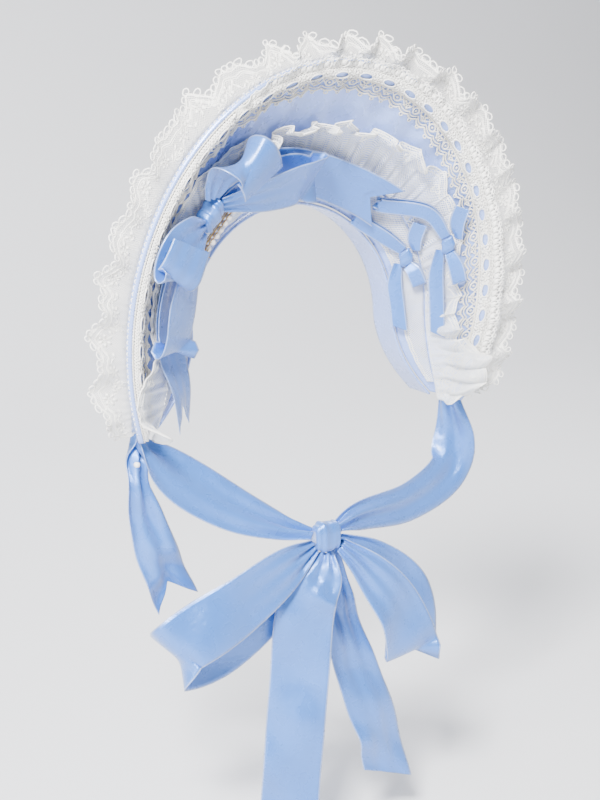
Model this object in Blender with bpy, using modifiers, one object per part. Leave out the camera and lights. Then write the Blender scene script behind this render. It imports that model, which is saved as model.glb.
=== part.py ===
"""Lolita half bonnet: a flared satin brim on a head band, dressed with lace and tied under the chin.

Metres, +Z up. The wearer looks along -Y, and the wearer's right side is at -X. The origin is the
underside of the head band at the top of the head.
"""
from math import asin, cos, exp, pi, radians, sin

import bmesh
import bpy
from mathutils import Vector

MM = 0.001

# Head band, an arch over the head that ends beside the cheeks
BAND_HALF_WIDTH = 88 * MM
BAND_ARCH_HEIGHT = 90 * MM
BAND_DROP = 160 * MM
BAND_END_SPREAD = 34 * MM
BAND_END_LEAN = 12 * MM
BAND_WIDTH = 28 * MM
BAND_WALL = 2 * MM

# Brim, a horseshoe that flares forwards and outwards from the band
RIM_HALF_WIDTH = 158 * MM
RIM_RISE = 110 * MM
RIM_WIDEST_DROP = 80 * MM
RIM_DROP = 163 * MM
RIM_FORWARD_TOP = 88 * MM
RIM_FORWARD_LOW = 42 * MM
RIM_SWEEP = 0.75  # below 1 the rim comes forward early on its way up
BRIM_WALL = 3 * MM
BRIM_BULGE = 4 * MM
BRIM_BULGE_WAY = (0.8, 0.6)  # shares outwards and backwards
PLEAT_DEPTH = 1.4 * MM
PLEAT_PAIRS = 9
PLEAT_ZONE = (0.55, 1.0, 0.2)  # shares of the brim's width: start, end, fade
PLEAT_REACH = (0.4, 0.2)  # places along the rim: full up to, then fade

# Lace and net
LACE_WALL = 1 * MM
RUFFLE_WIDTH = 34 * MM
RUFFLE_TOP_SHARE = 0.76
RUFFLE_SEAM = 8 * MM
RUFFLE_WAVE = 10 * MM
RUFFLE_FOLDS = 11
RUFFLE_LEAN = radians(24)
FOLD_DRIFT = 0.7  # radians by which the folds wander from even spacing
FOLD_SWING = 0.25  # share by which their depth varies
FOLD_OVERHANG = 0.45  # sideways share of a fold's depth
FRILL_SEAM = 33 * MM
FRILL_WIDTH = 47 * MM
FRILL_WAVE = 13 * MM
FRILL_FOLDS = 9
FRILL_PRESSED = 0.3  # share of the folds' height left under the narrow bows
FRILL_END_REACH = 1.15  # share of the brim's width that the frill covers at its ends
UNDER_WIDE_BOW = (-0.94, -0.24)
UNDER_UPPER_TAIL = (-0.19, 0.41)
UNDER_NARROW_BOWS = (0.42, 0.80)
ENDS_SHORT = 0.02
HEADING_WIDTH = 28 * MM
HEADING_WAVE = 1 * MM
HEADING_STOP = 6 * MM
BRAID_WIDTH = 25 * MM
BRAID_EDGE = 2 * MM
BRAID_TOOTH = 3 * MM
BRAID_REPEATS = 33
INSERTION_WIDTH = 7 * MM
INSERTION_EDGE = 5 * MM

# Satin ribbon
BOW_RIBBON_WIDTH = 40 * MM
TIE_RIBBON_WIDTH = 46 * MM
RIBBON_WALL = 1 * MM
NARROW_WIDTH = 12 * MM

# Wide bow above the wearer's right temple, and its brooch
BOW_PLACE = (-0.415, 0.44)
BOW_KNOT_SIZE = (22 * MM, 24 * MM, 17 * MM)
BROOCH_LENGTH = 44 * MM
BROOCH_BAR = (4 * MM, 1.6 * MM)
BROOCH_DROP = 4.5 * MM
PEARL_RADIUS = 2.4 * MM
PEARL_COUNT = 8

# Two narrow bows on the wearer's left
NARROW_KNOT_SIZE = (12 * MM, 13 * MM, 7 * MM)
NARROW_BOW_PLACES = ((0.565, 0.20), (0.595, 0.57))

# Chin ties, their bow and the loose streamer
CHIN_DROP = 249 * MM
CHIN_FORWARD = 68 * MM
CHIN_KNOT_SIZE = (22 * MM, 16 * MM, 26 * MM)
TIE_SAG = 16 * MM
SLACK_SAG = 52 * MM
SLACK_SPREAD = 17 * MM
RIGHT_LOOP_REACH = 131 * MM
LEFT_LOOP_REACH = 118 * MM
LONG_TAIL = 222 * MM
SHORT_TAIL = 195 * MM
STREAMER_LENGTH = 138 * MM
STUD_RADIUS = 2.5 * MM

CLEARANCE = 0.4 * MM
SHEET_CLEARANCE = 1.0 * MM
KNOT_CLEARANCE = 0.8 * MM
KNOT_CAGE = 1.18  # the cage is larger than its knot, as rounding draws it in
UP = Vector((0, 0, 1))
BACK = Vector((0, 1, 0))
TIE_RISE = (BACK + UP) * 3 * MM


def mix(a, b, share):
    return a + (b - a) * share


def smooth(share):
    share = min(max(share, 0.0), 1.0)
    return share * share * (3 - 2 * share)


def band_line(t):
    """Middle of the band's underside, from -1 at the wearer's right end over 0 on top to 1."""
    arch_share = 0.75
    q = abs(t)
    side = 1 if t >= 0 else -1
    if q < arch_share:
        turn = q / arch_share * pi / 2
        x = BAND_HALF_WIDTH * sin(turn)
        z = -BAND_ARCH_HEIGHT * (1 - cos(turn))
    else:
        leg = (q - arch_share) / (1 - arch_share)
        x = BAND_HALF_WIDTH + BAND_END_SPREAD * leg * leg
        z = mix(-BAND_ARCH_HEIGHT, -BAND_DROP, leg)
    return Vector((side * x, -BAND_END_LEAN * q * q, z))


def band_out(t):
    """Direction straight off the band, away from the head."""
    step = 0.002
    along = band_line(t + step) - band_line(t - step)
    out = along.cross(BACK)
    out.y = 0
    out.normalize()
    return out if out.dot(band_line(t) + BAND_ARCH_HEIGHT * UP) > 0 else -out


def rim_line(t):
    """Edge of the brim, on an ellipse that stops a little under its widest place."""
    height = RIM_RISE + RIM_WIDEST_DROP
    end_turn = asin((RIM_DROP - RIM_WIDEST_DROP) / height)
    turn = pi / 2 - abs(t) * (pi / 2 + end_turn)
    side = 1 if t >= 0 else -1
    z = -RIM_WIDEST_DROP + height * sin(turn)
    climb = max((z + RIM_DROP) / (RIM_RISE + RIM_DROP), 0)
    forward = mix(RIM_FORWARD_LOW, RIM_FORWARD_TOP, climb ** RIM_SWEEP)
    return Vector((side * RIM_HALF_WIDTH * cos(turn), -forward, z))


def root_line(t):
    """Where the brim starts, on the outer face of the band beside its front edge."""
    seat = BAND_WALL + CLEARANCE + BRIM_WALL / 2
    return band_line(t) + band_out(t) * seat + BACK * (BRIM_WALL - BAND_WIDTH / 2)


def brim_width(t):
    return (rim_line(t) - root_line(t)).length


def brim_smooth(t, v):
    """Brim without its pleats, from 0 at the band to 1 at the rim."""
    root = root_line(t)
    rim = rim_line(t)
    away = mix(root, rim, 0.5) + RIM_WIDEST_DROP * UP
    away.y = 0
    away.normalize()
    outwards, backwards = BRIM_BULGE_WAY
    bulge = BRIM_BULGE * sin(pi * min(max(v, 0), 1))
    return mix(root, rim, v) + (away * outwards + BACK * backwards) * bulge


def brim_axes(t, v):
    """Directions along the rim, towards the rim and off the inner face."""
    step = 0.004
    along = (brim_smooth(t + step, v) - brim_smooth(t - step, v)).normalized()
    outward = (rim_line(t) - root_line(t)).normalized()
    inward = along.cross(outward).normalized()
    middle = Vector((0, -RIM_FORWARD_TOP, -RIM_WIDEST_DROP))
    if inward.dot(middle - brim_smooth(t, v)) < 0:
        inward = -inward
    return along, outward, inward


def brim_point(t, v, off=0.0):
    """Place off the brim's middle surface, towards the wearer's face."""
    inward = brim_axes(t, v)[2]
    low, high, fade = PLEAT_ZONE
    full, fall = PLEAT_REACH
    swell = smooth((v - low) / fade) * smooth((high - v) / fade) * smooth((full + fall - abs(t)) / fall)
    return brim_smooth(t, v) + inward * (off + PLEAT_DEPTH * swell * cos(2 * pi * PLEAT_PAIRS * t))


INNER_FACE = BRIM_WALL / 2 + SHEET_CLEARANCE


def ruffle_place(t, s):
    """Gathered lace round the rim: sewn on the outer face, then free in deep folds."""
    along, outward, inward = brim_axes(t, 1)
    start = 1 - RUFFLE_SEAM / brim_width(t)
    seam = brim_point(t, start, -(INNER_FACE + LACE_WALL / 2))
    width = RUFFLE_WIDTH * mix(RUFFLE_TOP_SHARE, 1, smooth(abs(t) / 0.5))
    reach = s * width
    free = max(reach - RUFFLE_SEAM, 0)
    fold = smooth(free / (width - RUFFLE_SEAM))
    phase = 2 * pi * RUFFLE_FOLDS * t + FOLD_DRIFT * sin(RUFFLE_FOLDS * t)
    size = RUFFLE_WAVE * fold * (1 - FOLD_SWING + FOLD_SWING * sin(7 * t + 1))
    lean = outward * cos(RUFFLE_LEAN) - inward * sin(RUFFLE_LEAN)
    run = outward * min(reach, RUFFLE_SEAM) + lean * free * (1 - FOLD_SWING * (0.25 + 0.3 * sin(phase * 2)))
    return seam + run - inward * size * sin(phase) + along * size * FOLD_OVERHANG * sin(phase * 2)


def is_crest(t):
    """1 where a narrow bow sits on the frill, so that its knot has a crest to rest on."""
    reach = 0.035
    return max(exp(-((t - place[0]) / reach) ** 2) for place in NARROW_BOW_PLACES)


def within(t, span, fade=0.05):
    """1 between the ends of a span, falling to 0 outside it."""
    return smooth((t - span[0]) / fade + 1) * smooth((span[1] - t) / fade + 1)


def frill_lift(t, s):
    """How far the gathered net stands off the brim: pressed flat under the bows' ribbons, and over
    the braid and its ribbon near both ends."""
    wave = 0.5 + 0.5 * sin(2 * pi * FRILL_FOLDS * t + FOLD_DRIFT * sin(FRILL_FOLDS * t))
    wave = mix(wave, 1, is_crest(t))
    free_from = mix(0.08, 0.67, within(t, UNDER_UPPER_TAIL))
    size = FRILL_WAVE * mix(1, FRILL_PRESSED, within(t, UNDER_NARROW_BOWS))
    size *= 1 - within(t, UNDER_WIDE_BOW)
    near_end = smooth((abs(t) - 0.76) / 0.05)
    at_seam = smooth((abs(t) - 0.82) / 0.08)
    over_braid = 2 * (LACE_WALL + SHEET_CLEARANCE) + RIBBON_WALL
    over_braid *= near_end * mix(smooth(s / 0.35), 1, at_seam)
    return over_braid + size * wave * smooth((s - free_from) / (0.95 - free_from))


def frill_seam(t):
    """Distance of the gathering line from the brim's root."""
    return min(FRILL_SEAM, 0.3 * brim_width(t))


def frill_place(t, s):
    """Gathered net from its seam at s = 0 to its free edge, which runs over the braid at both ends."""
    full = frill_seam(t) + FRILL_WIDTH
    room = brim_width(t) - BRAID_EDGE - BRAID_WIDTH - BRAID_TOOTH - CLEARANCE
    reach = mix(min(full, room), min(full, FRILL_END_REACH * brim_width(t)), smooth((abs(t) - 0.8) / 0.1))
    v = mix(frill_seam(t), reach, s) / brim_width(t)
    return brim_point(t, v, INNER_FACE + LACE_WALL / 2 + frill_lift(t, s))


def heading_place(t, s):
    """Lower edge of the same net, lying between the gathering line and the band."""
    top = frill_seam(t) - SHEET_CLEARANCE
    v = (top - s * min(HEADING_WIDTH, top - HEADING_STOP)) / brim_width(t)
    lift = HEADING_WAVE * s * (0.5 + 0.5 * sin(2 * pi * 1.5 * FRILL_FOLDS * t))
    return brim_point(t, v, INNER_FACE + LACE_WALL / 2 + lift)


def braid_place(t, s):
    """Pierced braid beside the rim, with a toothed inner edge at s = 0. It narrows at the brim's ends."""
    room = min(1, 0.62 * brim_width(t) / BRAID_WIDTH)
    tooth = BRAID_TOOTH * (1 - s) * cos(2 * pi * BRAID_REPEATS * (t + 1) / 2)
    inset = BRAID_EDGE + (1 - s) * BRAID_WIDTH * room + tooth
    return brim_point(t, 1 - inset / brim_width(t), INNER_FACE + LACE_WALL / 2)


def insertion_place(t, s):
    inset = INSERTION_EDGE + (1 - s) * INSERTION_WIDTH
    off = INNER_FACE + LACE_WALL + SHEET_CLEARANCE + RIBBON_WALL / 2
    return brim_point(t, 1 - inset / brim_width(t), off)


def new_material(name, colour, roughness, metallic=0.0):
    material = bpy.data.materials.new(name)
    material.use_nodes = True
    shader = material.node_tree.nodes["Principled BSDF"]
    shader.inputs["Base Color"].default_value = (*colour, 1)
    shader.inputs["Roughness"].default_value = roughness
    shader.inputs["Metallic"].default_value = metallic
    return material


def add_object(name, bm, material):
    mesh = bpy.data.meshes.new(name)
    bm.to_mesh(mesh)
    bm.free()
    obj = bpy.data.objects.new(name, mesh)
    obj.data.materials.append(material)
    bpy.data.collections["lolita_bonnet"].objects.link(obj)
    return obj


def add_sheet(name, columns, rows, place, wall, material, is_hole=None):
    """Cloth wall: a flat grid whose points are moved to place(across, up), then made solid."""
    bm = bmesh.new()
    bmesh.ops.create_grid(bm, x_segments=columns, y_segments=rows, size=0.5)
    if is_hole:
        cells = [f for f in bm.faces if is_hole(*(f.calc_center_median().xy + Vector((0.5, 0.5))))]
        bmesh.ops.delete(bm, geom=cells, context="FACES_ONLY")
    for vert in bm.verts:
        vert.co = place(vert.co.x + 0.5, vert.co.y + 0.5)
    bmesh.ops.triangulate(bm, faces=bm.faces)
    obj = add_object(name, bm, material)
    solid = obj.modifiers.new("Wall", "SOLIDIFY")
    solid.thickness = wall
    solid.offset = 0
    return obj


def curve_through(points, share):
    """Point of a smooth curve through the points, at a share of their count."""
    last = len(points) - 1
    at = min(max(share, 0.0), 1.0) * last
    k = min(int(at), last - 1)
    f = at - k
    before = points[k - 1] if k > 0 else points[0] * 2 - points[1]
    after = points[k + 2] if k + 2 <= last else points[last] * 2 - points[last - 1]
    a, b = points[k], points[k + 1]
    return 0.5 * (2 * a + (b - before) * f + (2 * before - 5 * a + 4 * b - after) * f * f
                  + (3 * a - before - 3 * b + after) * f * f * f)


def add_ribbon(name, centres, acrosses, widths, full_width, steps, material, cut="square", rows=1):
    """Ribbon along centres. Each across is the way its width runs, each width a share of full_width."""
    wide = [Vector((share, 0, 0)) for share in widths]
    reach = {"square": 0.0, "slant": 0.5, "notch": 0.45}[cut] * full_width

    def place(u, v):
        centre = curve_through(centres, u)
        along = (curve_through(centres, u + 0.01) - curve_through(centres, u - 0.01)).normalized()
        across = curve_through(acrosses, u)
        across = (across - along * across.dot(along)).normalized()
        side = v - 0.5
        shift = reach * (side if cut == "slant" else 2 * abs(side) - 1) * smooth((u - 0.7) / 0.3)
        return centre + across * side * full_width * curve_through(wide, u).x + along * shift

    return add_sheet(name, steps, 2 if cut == "notch" else rows, place, RIBBON_WALL, material)


def add_brim_ribbon(name, table, full_width, steps, material, cut="square"):
    """Ribbon in front of the brim. Columns: place along the rim, place up the brim, stand-off in
    ribbon walls, how the width runs (along the rim, towards the rim, off the face), width share."""
    centres, acrosses, widths = [], [], []
    for t, v, off, across_t, across_v, across_off, width in table:
        along, outward, inward = brim_axes(t, v)
        centres.append(brim_smooth(t, v) + inward * off * RIBBON_WALL)
        acrosses.append((along * across_t + outward * across_v + inward * across_off).normalized())
        widths.append(width)
    return add_ribbon(name, centres, acrosses, widths, full_width, steps, material, cut)


def add_hung_ribbon(name, start, reach, table, steps, material, cut="square"):
    """Ribbon that hangs from start. Columns: to the wearer's left, forwards and down in shares of
    reach, the way the width runs (x, y, z), width share."""
    centres = [start + Vector((x, -front, -down)) * reach for x, front, down, *_ in table]
    acrosses = [Vector(row[3:6]).normalized() for row in table]
    widths = [row[6] for row in table]
    return add_ribbon(name, centres, acrosses, widths, TIE_RIBBON_WIDTH, steps, material, cut)


def add_knot(name, centre, axes, size, material):
    """Soft knot: a cage with six sides, rounded off by subdivision and set on three directions."""
    bm = bmesh.new()
    bmesh.ops.create_cube(bm, size=1)
    for vert in bm.verts:
        local = vert.co.copy()
        vert.co = centre + sum((axes[i] * local[i] * size[i] * KNOT_CAGE for i in range(3)), Vector())
    obj = add_object(name, bm, material)
    soft = obj.modifiers.new("Soft", "SUBSURF")
    soft.levels = 2
    soft.render_levels = 2
    return obj


def clear_scene():
    for obj in list(bpy.data.objects):
        bpy.data.objects.remove(obj)
    collection = bpy.data.collections.new("lolita_bonnet")
    bpy.context.scene.collection.children.link(collection)


def spread(u, short=0.0):
    """Place along the rim for a share across a sheet that stops short of both ends."""
    return (2 * u - 1) * (1 - short)


def make_band(material):
    def place(u, v):
        t = spread(u)
        return band_line(t) + band_out(t) * BAND_WALL / 2 + BACK * BAND_WIDTH * (v - 0.5)

    add_sheet("head_band", 44, 1, place, BAND_WALL, material)


def make_brim(material):
    add_sheet("brim", 66, 4, lambda u, v: brim_point(spread(u), v), BRIM_WALL, material)


def make_lace(lace, net, satin):
    def ruffle(u, v):
        return ruffle_place(spread(u, ENDS_SHORT), v)

    def heading(u, v):
        return heading_place(spread(u, 2 * ENDS_SHORT), v)

    def braid_ribbon(u, v):
        return insertion_place(spread(u, ENDS_SHORT), v)

    add_sheet("outer_ruffle", 124, 3, ruffle, LACE_WALL, lace)
    add_sheet("inner_frill", 88, 3, lambda u, v: frill_place(spread(u), v), LACE_WALL, net)
    add_sheet("frill_heading", 66, 1, heading, LACE_WALL, net)

    def is_hole(u, v):
        return 1 / 3 < v < 2 / 3 and int(u * 2 * BRAID_REPEATS) % 2 == 1

    columns = 2 * BRAID_REPEATS
    add_sheet("rim_braid", columns, 3, lambda u, v: braid_place(spread(u), v), LACE_WALL, lace, is_hole)
    add_sheet("insertion_ribbon", columns, 1, braid_ribbon, RIBBON_WALL, satin)


def rim_share(length, t, v):
    """A length along the rim as a difference in t."""
    step = 0.01
    return length * 2 * step / (brim_smooth(t + step, v) - brim_smooth(t - step, v)).length


def make_wide_bow(satin):
    t, v = BOW_PLACE
    along, outward, inward = brim_axes(t, v)
    off = INNER_FACE + LACE_WALL + CLEARANCE + BOW_KNOT_SIZE[2] / 2
    add_knot("bow_knot", brim_smooth(t, v) + inward * off, (along, outward, inward), BOW_KNOT_SIZE, satin)
    half = rim_share(BOW_KNOT_SIZE[0] / 2 + KNOT_CLEARANCE, t, v)
    left = t + half
    right = t - half * 1.1
    top = v + (BOW_KNOT_SIZE[1] / 2 + CLEARANCE) / brim_width(t)
    wide = BOW_RIBBON_WIDTH
    add_brim_ribbon("bow_tail_upper", (
        (left, v, 9, 0, 1, 0, 0.34),
        (-0.26, 0.42, 8.5, 0, 1, 0, 0.8),
        (-0.12, 0.31, 8.5, 0, 1, 0, 1),
        (0.02, 0.24, 10, 0, 1, 0, 1),
        (0.16, 0.22, 13, 0, 1, 0, 1),
        (0.28, 0.25, 17, -0.1, 1, 0, 1),
        (0.36, 0.28, 18, -0.2, 1, 0, 1)), wide, 18, satin, "notch")
    add_brim_ribbon("bow_loop_upper", (
        (left, v, 11.3, 0, 1, 0, 0.34),
        (-0.28, 0.40, 13, 0, 1, 0, 0.75),
        (-0.12, 0.30, 14.5, 0, 1, 0, 1),
        (-0.04, 0.27, 17, 0, 1, 0, 1),
        (0.002, 0.29, 23, 0, 1, 0.1, 1),
        (-0.05, 0.33, 31, 0, 1, 0.1, 1),
        (-0.12, 0.34, 34, 0, 1, 0, 1),
        (-0.26, 0.38, 30, 0, 1, 0, 0.8),
        (left, v, 15.5, 0, 1, 0, 0.36)), wide, 28, satin)
    add_brim_ribbon("bow_fold_upper", (
        (t + 0.02, top, 13.5, 1, 0, 0.1, 0.42),
        (-0.355, 0.65, 15, 1, 0, 0.3, 0.7),
        (-0.325, 0.71, 18, 1, 0, 0.4, 0.9),
        (-0.292, 0.75, 24, 1, 0, 0.2, 1),
        (-0.262, 0.73, 31, 1, 0, 0, 1),
        (-0.245, 0.67, 36, 1, 0, 0, 1),
        (-0.24, 0.61, 37.5, 1, 0, 0, 1)), wide, 18, satin)
    add_brim_ribbon("bow_tail_lower", (
        (right, v, 7.5, 0, 1, 0, 0.34),
        (-0.58, 0.42, 6.5, 0, 1, 0, 0.8),
        (-0.72, 0.40, 7, 0, 1, 0, 0.9),
        (-0.81, 0.36, 11, 0, 1, 0, 0.9),
        (-0.88, 0.30, 19, 0, 1, 0.2, 0.9),
        (-0.96, 0.22, 26, 0, 1, 0.3, 0.9)), wide, 18, satin, "notch")
    add_brim_ribbon("bow_loop_lower", (
        (right, v, 10, 0, 1, 0, 0.34),
        (-0.56, 0.44, 10, 0, 1, 0, 0.75),
        (-0.68, 0.44, 11, 0, 1, 0, 0.95),
        (-0.76, 0.46, 14, 0, 1, 0, 1),
        (-0.79, 0.50, 19, 0, 1, 0.1, 1),
        (-0.76, 0.52, 22.5, 0, 1, 0.1, 1),
        (-0.68, 0.50, 22.5, 0, 1, 0, 1),
        (-0.56, 0.46, 19, 0, 1, 0, 0.8),
        (right, v, 13.5, 0, 1, 0, 0.36)), wide, 28, satin)
    add_brim_ribbon("bow_fold_lower", (
        (right, v + 0.04, 17, 0, 1, -0.1, 0.36),
        (-0.51, 0.64, 22, 0, 1, -0.3, 0.75),
        (-0.56, 0.76, 21, 0, 1, -0.5, 0.9),
        (-0.61, 0.80, 20.5, 0, 1, -0.5, 0.9),
        (-0.635, 0.80, 23, 0, 1, -0.5, 0.9),
        (-0.61, 0.80, 26.5, 0, 1, -0.5, 0.9),
        (-0.55, 0.78, 26.5, 0, 1, -0.5, 0.85)), wide, 18, satin)


def make_brooch(gold):
    """Bar with a row of pearls, one body, pinned on the wide bow's knot towards the head."""
    t, v = BOW_PLACE
    along, outward, inward = brim_axes(t, v)
    knot_off = INNER_FACE + LACE_WALL + CLEARANCE + BOW_KNOT_SIZE[2] / 2
    width, depth = BROOCH_BAR
    side = BOW_KNOT_SIZE[1] / 2 + BROOCH_DROP + depth / 2
    centre = brim_smooth(t, v) + inward * knot_off - outward * side
    bm = bmesh.new()
    bmesh.ops.create_cube(bm, size=1)
    for vert in bm.verts:
        x, y, z = vert.co
        vert.co = centre + along * x * BROOCH_LENGTH + inward * y * width - outward * z * depth
    bmesh.ops.recalc_face_normals(bm, faces=bm.faces)
    bar = add_object("brooch", bm, gold)
    for k in range(PEARL_COUNT):
        share = (k + 0.5) / PEARL_COUNT - 0.5
        pearl = bmesh.new()
        bmesh.ops.create_uvsphere(pearl, u_segments=10, v_segments=6, radius=PEARL_RADIUS)
        place = centre + along * share * BROOCH_LENGTH - outward * (PEARL_RADIUS + depth * 0.2)
        bmesh.ops.translate(pearl, verts=pearl.verts, vec=place)
        join_body(bar, pearl)


def join_body(obj, bm):
    """Fuse a loose shape into an object by a Boolean union."""
    mesh = bpy.data.meshes.new("cutter")
    bm.to_mesh(mesh)
    bm.free()
    tool = bpy.data.objects.new("cutter", mesh)
    bpy.data.collections["cutters"].objects.link(tool)
    tool.hide_render = True
    tool.display_type = "WIRE"
    union = obj.modifiers.new("Union", "BOOLEAN")
    union.operation = "UNION"
    union.object = tool


def make_narrow_bow(number, drop, satin):
    """Bow of narrow ribbon: two loops, a short end up and a long end down. The long loop's far end
    lies lower on the brim than the knot by drop."""
    t, v = NARROW_BOW_PLACES[number]
    share = (v * brim_width(t) - frill_seam(t)) / FRILL_WIDTH
    seat = INNER_FACE + LACE_WALL + frill_lift(t, share) + SHEET_CLEARANCE
    off = seat + NARROW_KNOT_SIZE[2] / 2
    along, outward, inward = brim_axes(t, v)
    name = "narrow_bow_%d" % (number + 1)
    centre = brim_smooth(t, v) + inward * off
    add_knot(name + "_knot", centre, (along, outward, inward), NARROW_KNOT_SIZE, satin)
    h = off / RIBBON_WALL
    wide = NARROW_WIDTH
    half_t = rim_share(NARROW_KNOT_SIZE[0] / 2 + KNOT_CLEARANCE, t, v)
    half_v = (NARROW_KNOT_SIZE[1] / 2 + 3.6 * KNOT_CLEARANCE) / brim_width(t)
    add_brim_ribbon(name + "_loop_right", (
        (t - half_t, v, h - 1.5, 0, 1, 0, 0.7),
        (t - 0.12, v - 0.08, h - 1.5, 0, 1, 0, 1),
        (t - 0.25, v - drop, h - 2, 0, 1, 0, 1),
        (t - 0.265, v - drop, h - 0.5, 0, 1, 0, 1),
        (t - 0.25, v - drop, h + 1, 0, 1, 0, 1),
        (t - 0.12, v - 0.08, h + 3, 0, 1, 0, 1),
        (t - half_t, v, h + 1.5, 0, 1, 0, 0.7)), wide, 16, satin)
    add_brim_ribbon(name + "_loop_left", (
        (t + half_t, v, h - 1, 0, 1, 0, 0.7),
        (t + 0.06, v + 0.04, h - 0.5, 0, 1, 0, 1),
        (t + 0.10, v + 0.06, h, 0, 1, 0, 1),
        (t + 0.11, v + 0.065, h + 2.5, 0, 1, 0, 1),
        (t + 0.10, v + 0.06, h + 5, 0, 1, 0, 1),
        (t + 0.06, v + 0.04, h + 5, 0, 1, 0, 1),
        (t + half_t, v, h + 1.8, 0, 1, 0, 0.7)), wide, 14, satin)
    add_brim_ribbon(name + "_end_up", (
        (t, v + half_v, h - 0.6, 1, 0, 0, 0.6),
        (t - 0.04, v + 0.12, h, 1, 0, 0, 1),
        (t - 0.07, v + 0.20, h + 1, 1, 0, 0, 1)), wide, 6, satin)
    add_brim_ribbon(name + "_end_down", (
        (t + half_t * 0.2, v - half_v * 0.84, h - 1.8, 1, 0.2, 0, 0.6),
        (t + 0.07, v - half_v - 0.05, h + 1, 0.8, 1, 0, 1),
        (t + 0.15, v - half_v - 0.06, h + 2, 0.4, 1, 0, 1),
        (t + 0.23, v - half_v - 0.06, h + 2, 0.2, 1, 0, 1)), wide, 10, satin, "slant")


def streamer_table():
    """The loose ribbon at the wearer's right, from its seam behind the brim to its cut end."""
    return (
        (0, 0, -0.08, 0.6, 0.8, 0, 0.34),
        (-0.01, 0, 0.06, 0.6, 0.7, 0, 0.34),
        (-0.03, 0.03, 0.18, 1, 0.3, 0.1, 0.36),
        (-0.02, 0.07, 0.36, 1, 0.1, 0.2, 0.5),
        (0.04, 0.08, 0.6, 1, 0, 0.3, 0.68),
        (0.12, 0.07, 0.82, 1, 0, 0.3, 0.75),
        (0.2, 0.06, 1.0, 1, 0, 0.3, 0.75))


def add_stud(centre, material):
    """Small pearl sewn on the streamer under the brim's end."""
    bm = bmesh.new()
    bmesh.ops.create_uvsphere(bm, u_segments=10, v_segments=6, radius=STUD_RADIUS)
    bmesh.ops.translate(bm, verts=bm.verts, vec=centre)
    add_object("tie_stud", bm, material)


def tie_anchor(side):
    """Where a chin tie is sewn, on the outer face at the end of the brim."""
    along, outward, inward = brim_axes(side * 0.985, 0.5)
    off = BRIM_WALL / 2 + SHEET_CLEARANCE + RIBBON_WALL / 2
    return brim_smooth(side * 0.985, 0.5) - inward * off


def chin_knot_place():
    return Vector((0, -CHIN_FORWARD, -CHIN_DROP))


def add_tie(name, side, table, sag, steps, material):
    """Ribbon from the brim's end to the chin knot. Columns: share of the way, share of the sag, share
    of the slack outwards, the way the width runs (x outwards, y, z), width share."""
    start = tie_anchor(side)
    end = chin_knot_place() + Vector((side * (CHIN_KNOT_SIZE[0] / 2 + CLEARANCE), 0, 0)) + TIE_RISE
    centres = [mix(start, end, share) - UP * sag * down + Vector((side * SLACK_SPREAD * out, 0, 0))
               for share, down, out, *_ in table]
    acrosses = [Vector((side * x, y, z)).normalized() for _, _, _, x, y, z, _ in table]
    widths = [row[6] for row in table]
    add_ribbon(name, centres, acrosses, widths, TIE_RIBBON_WIDTH, steps, material)


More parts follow.
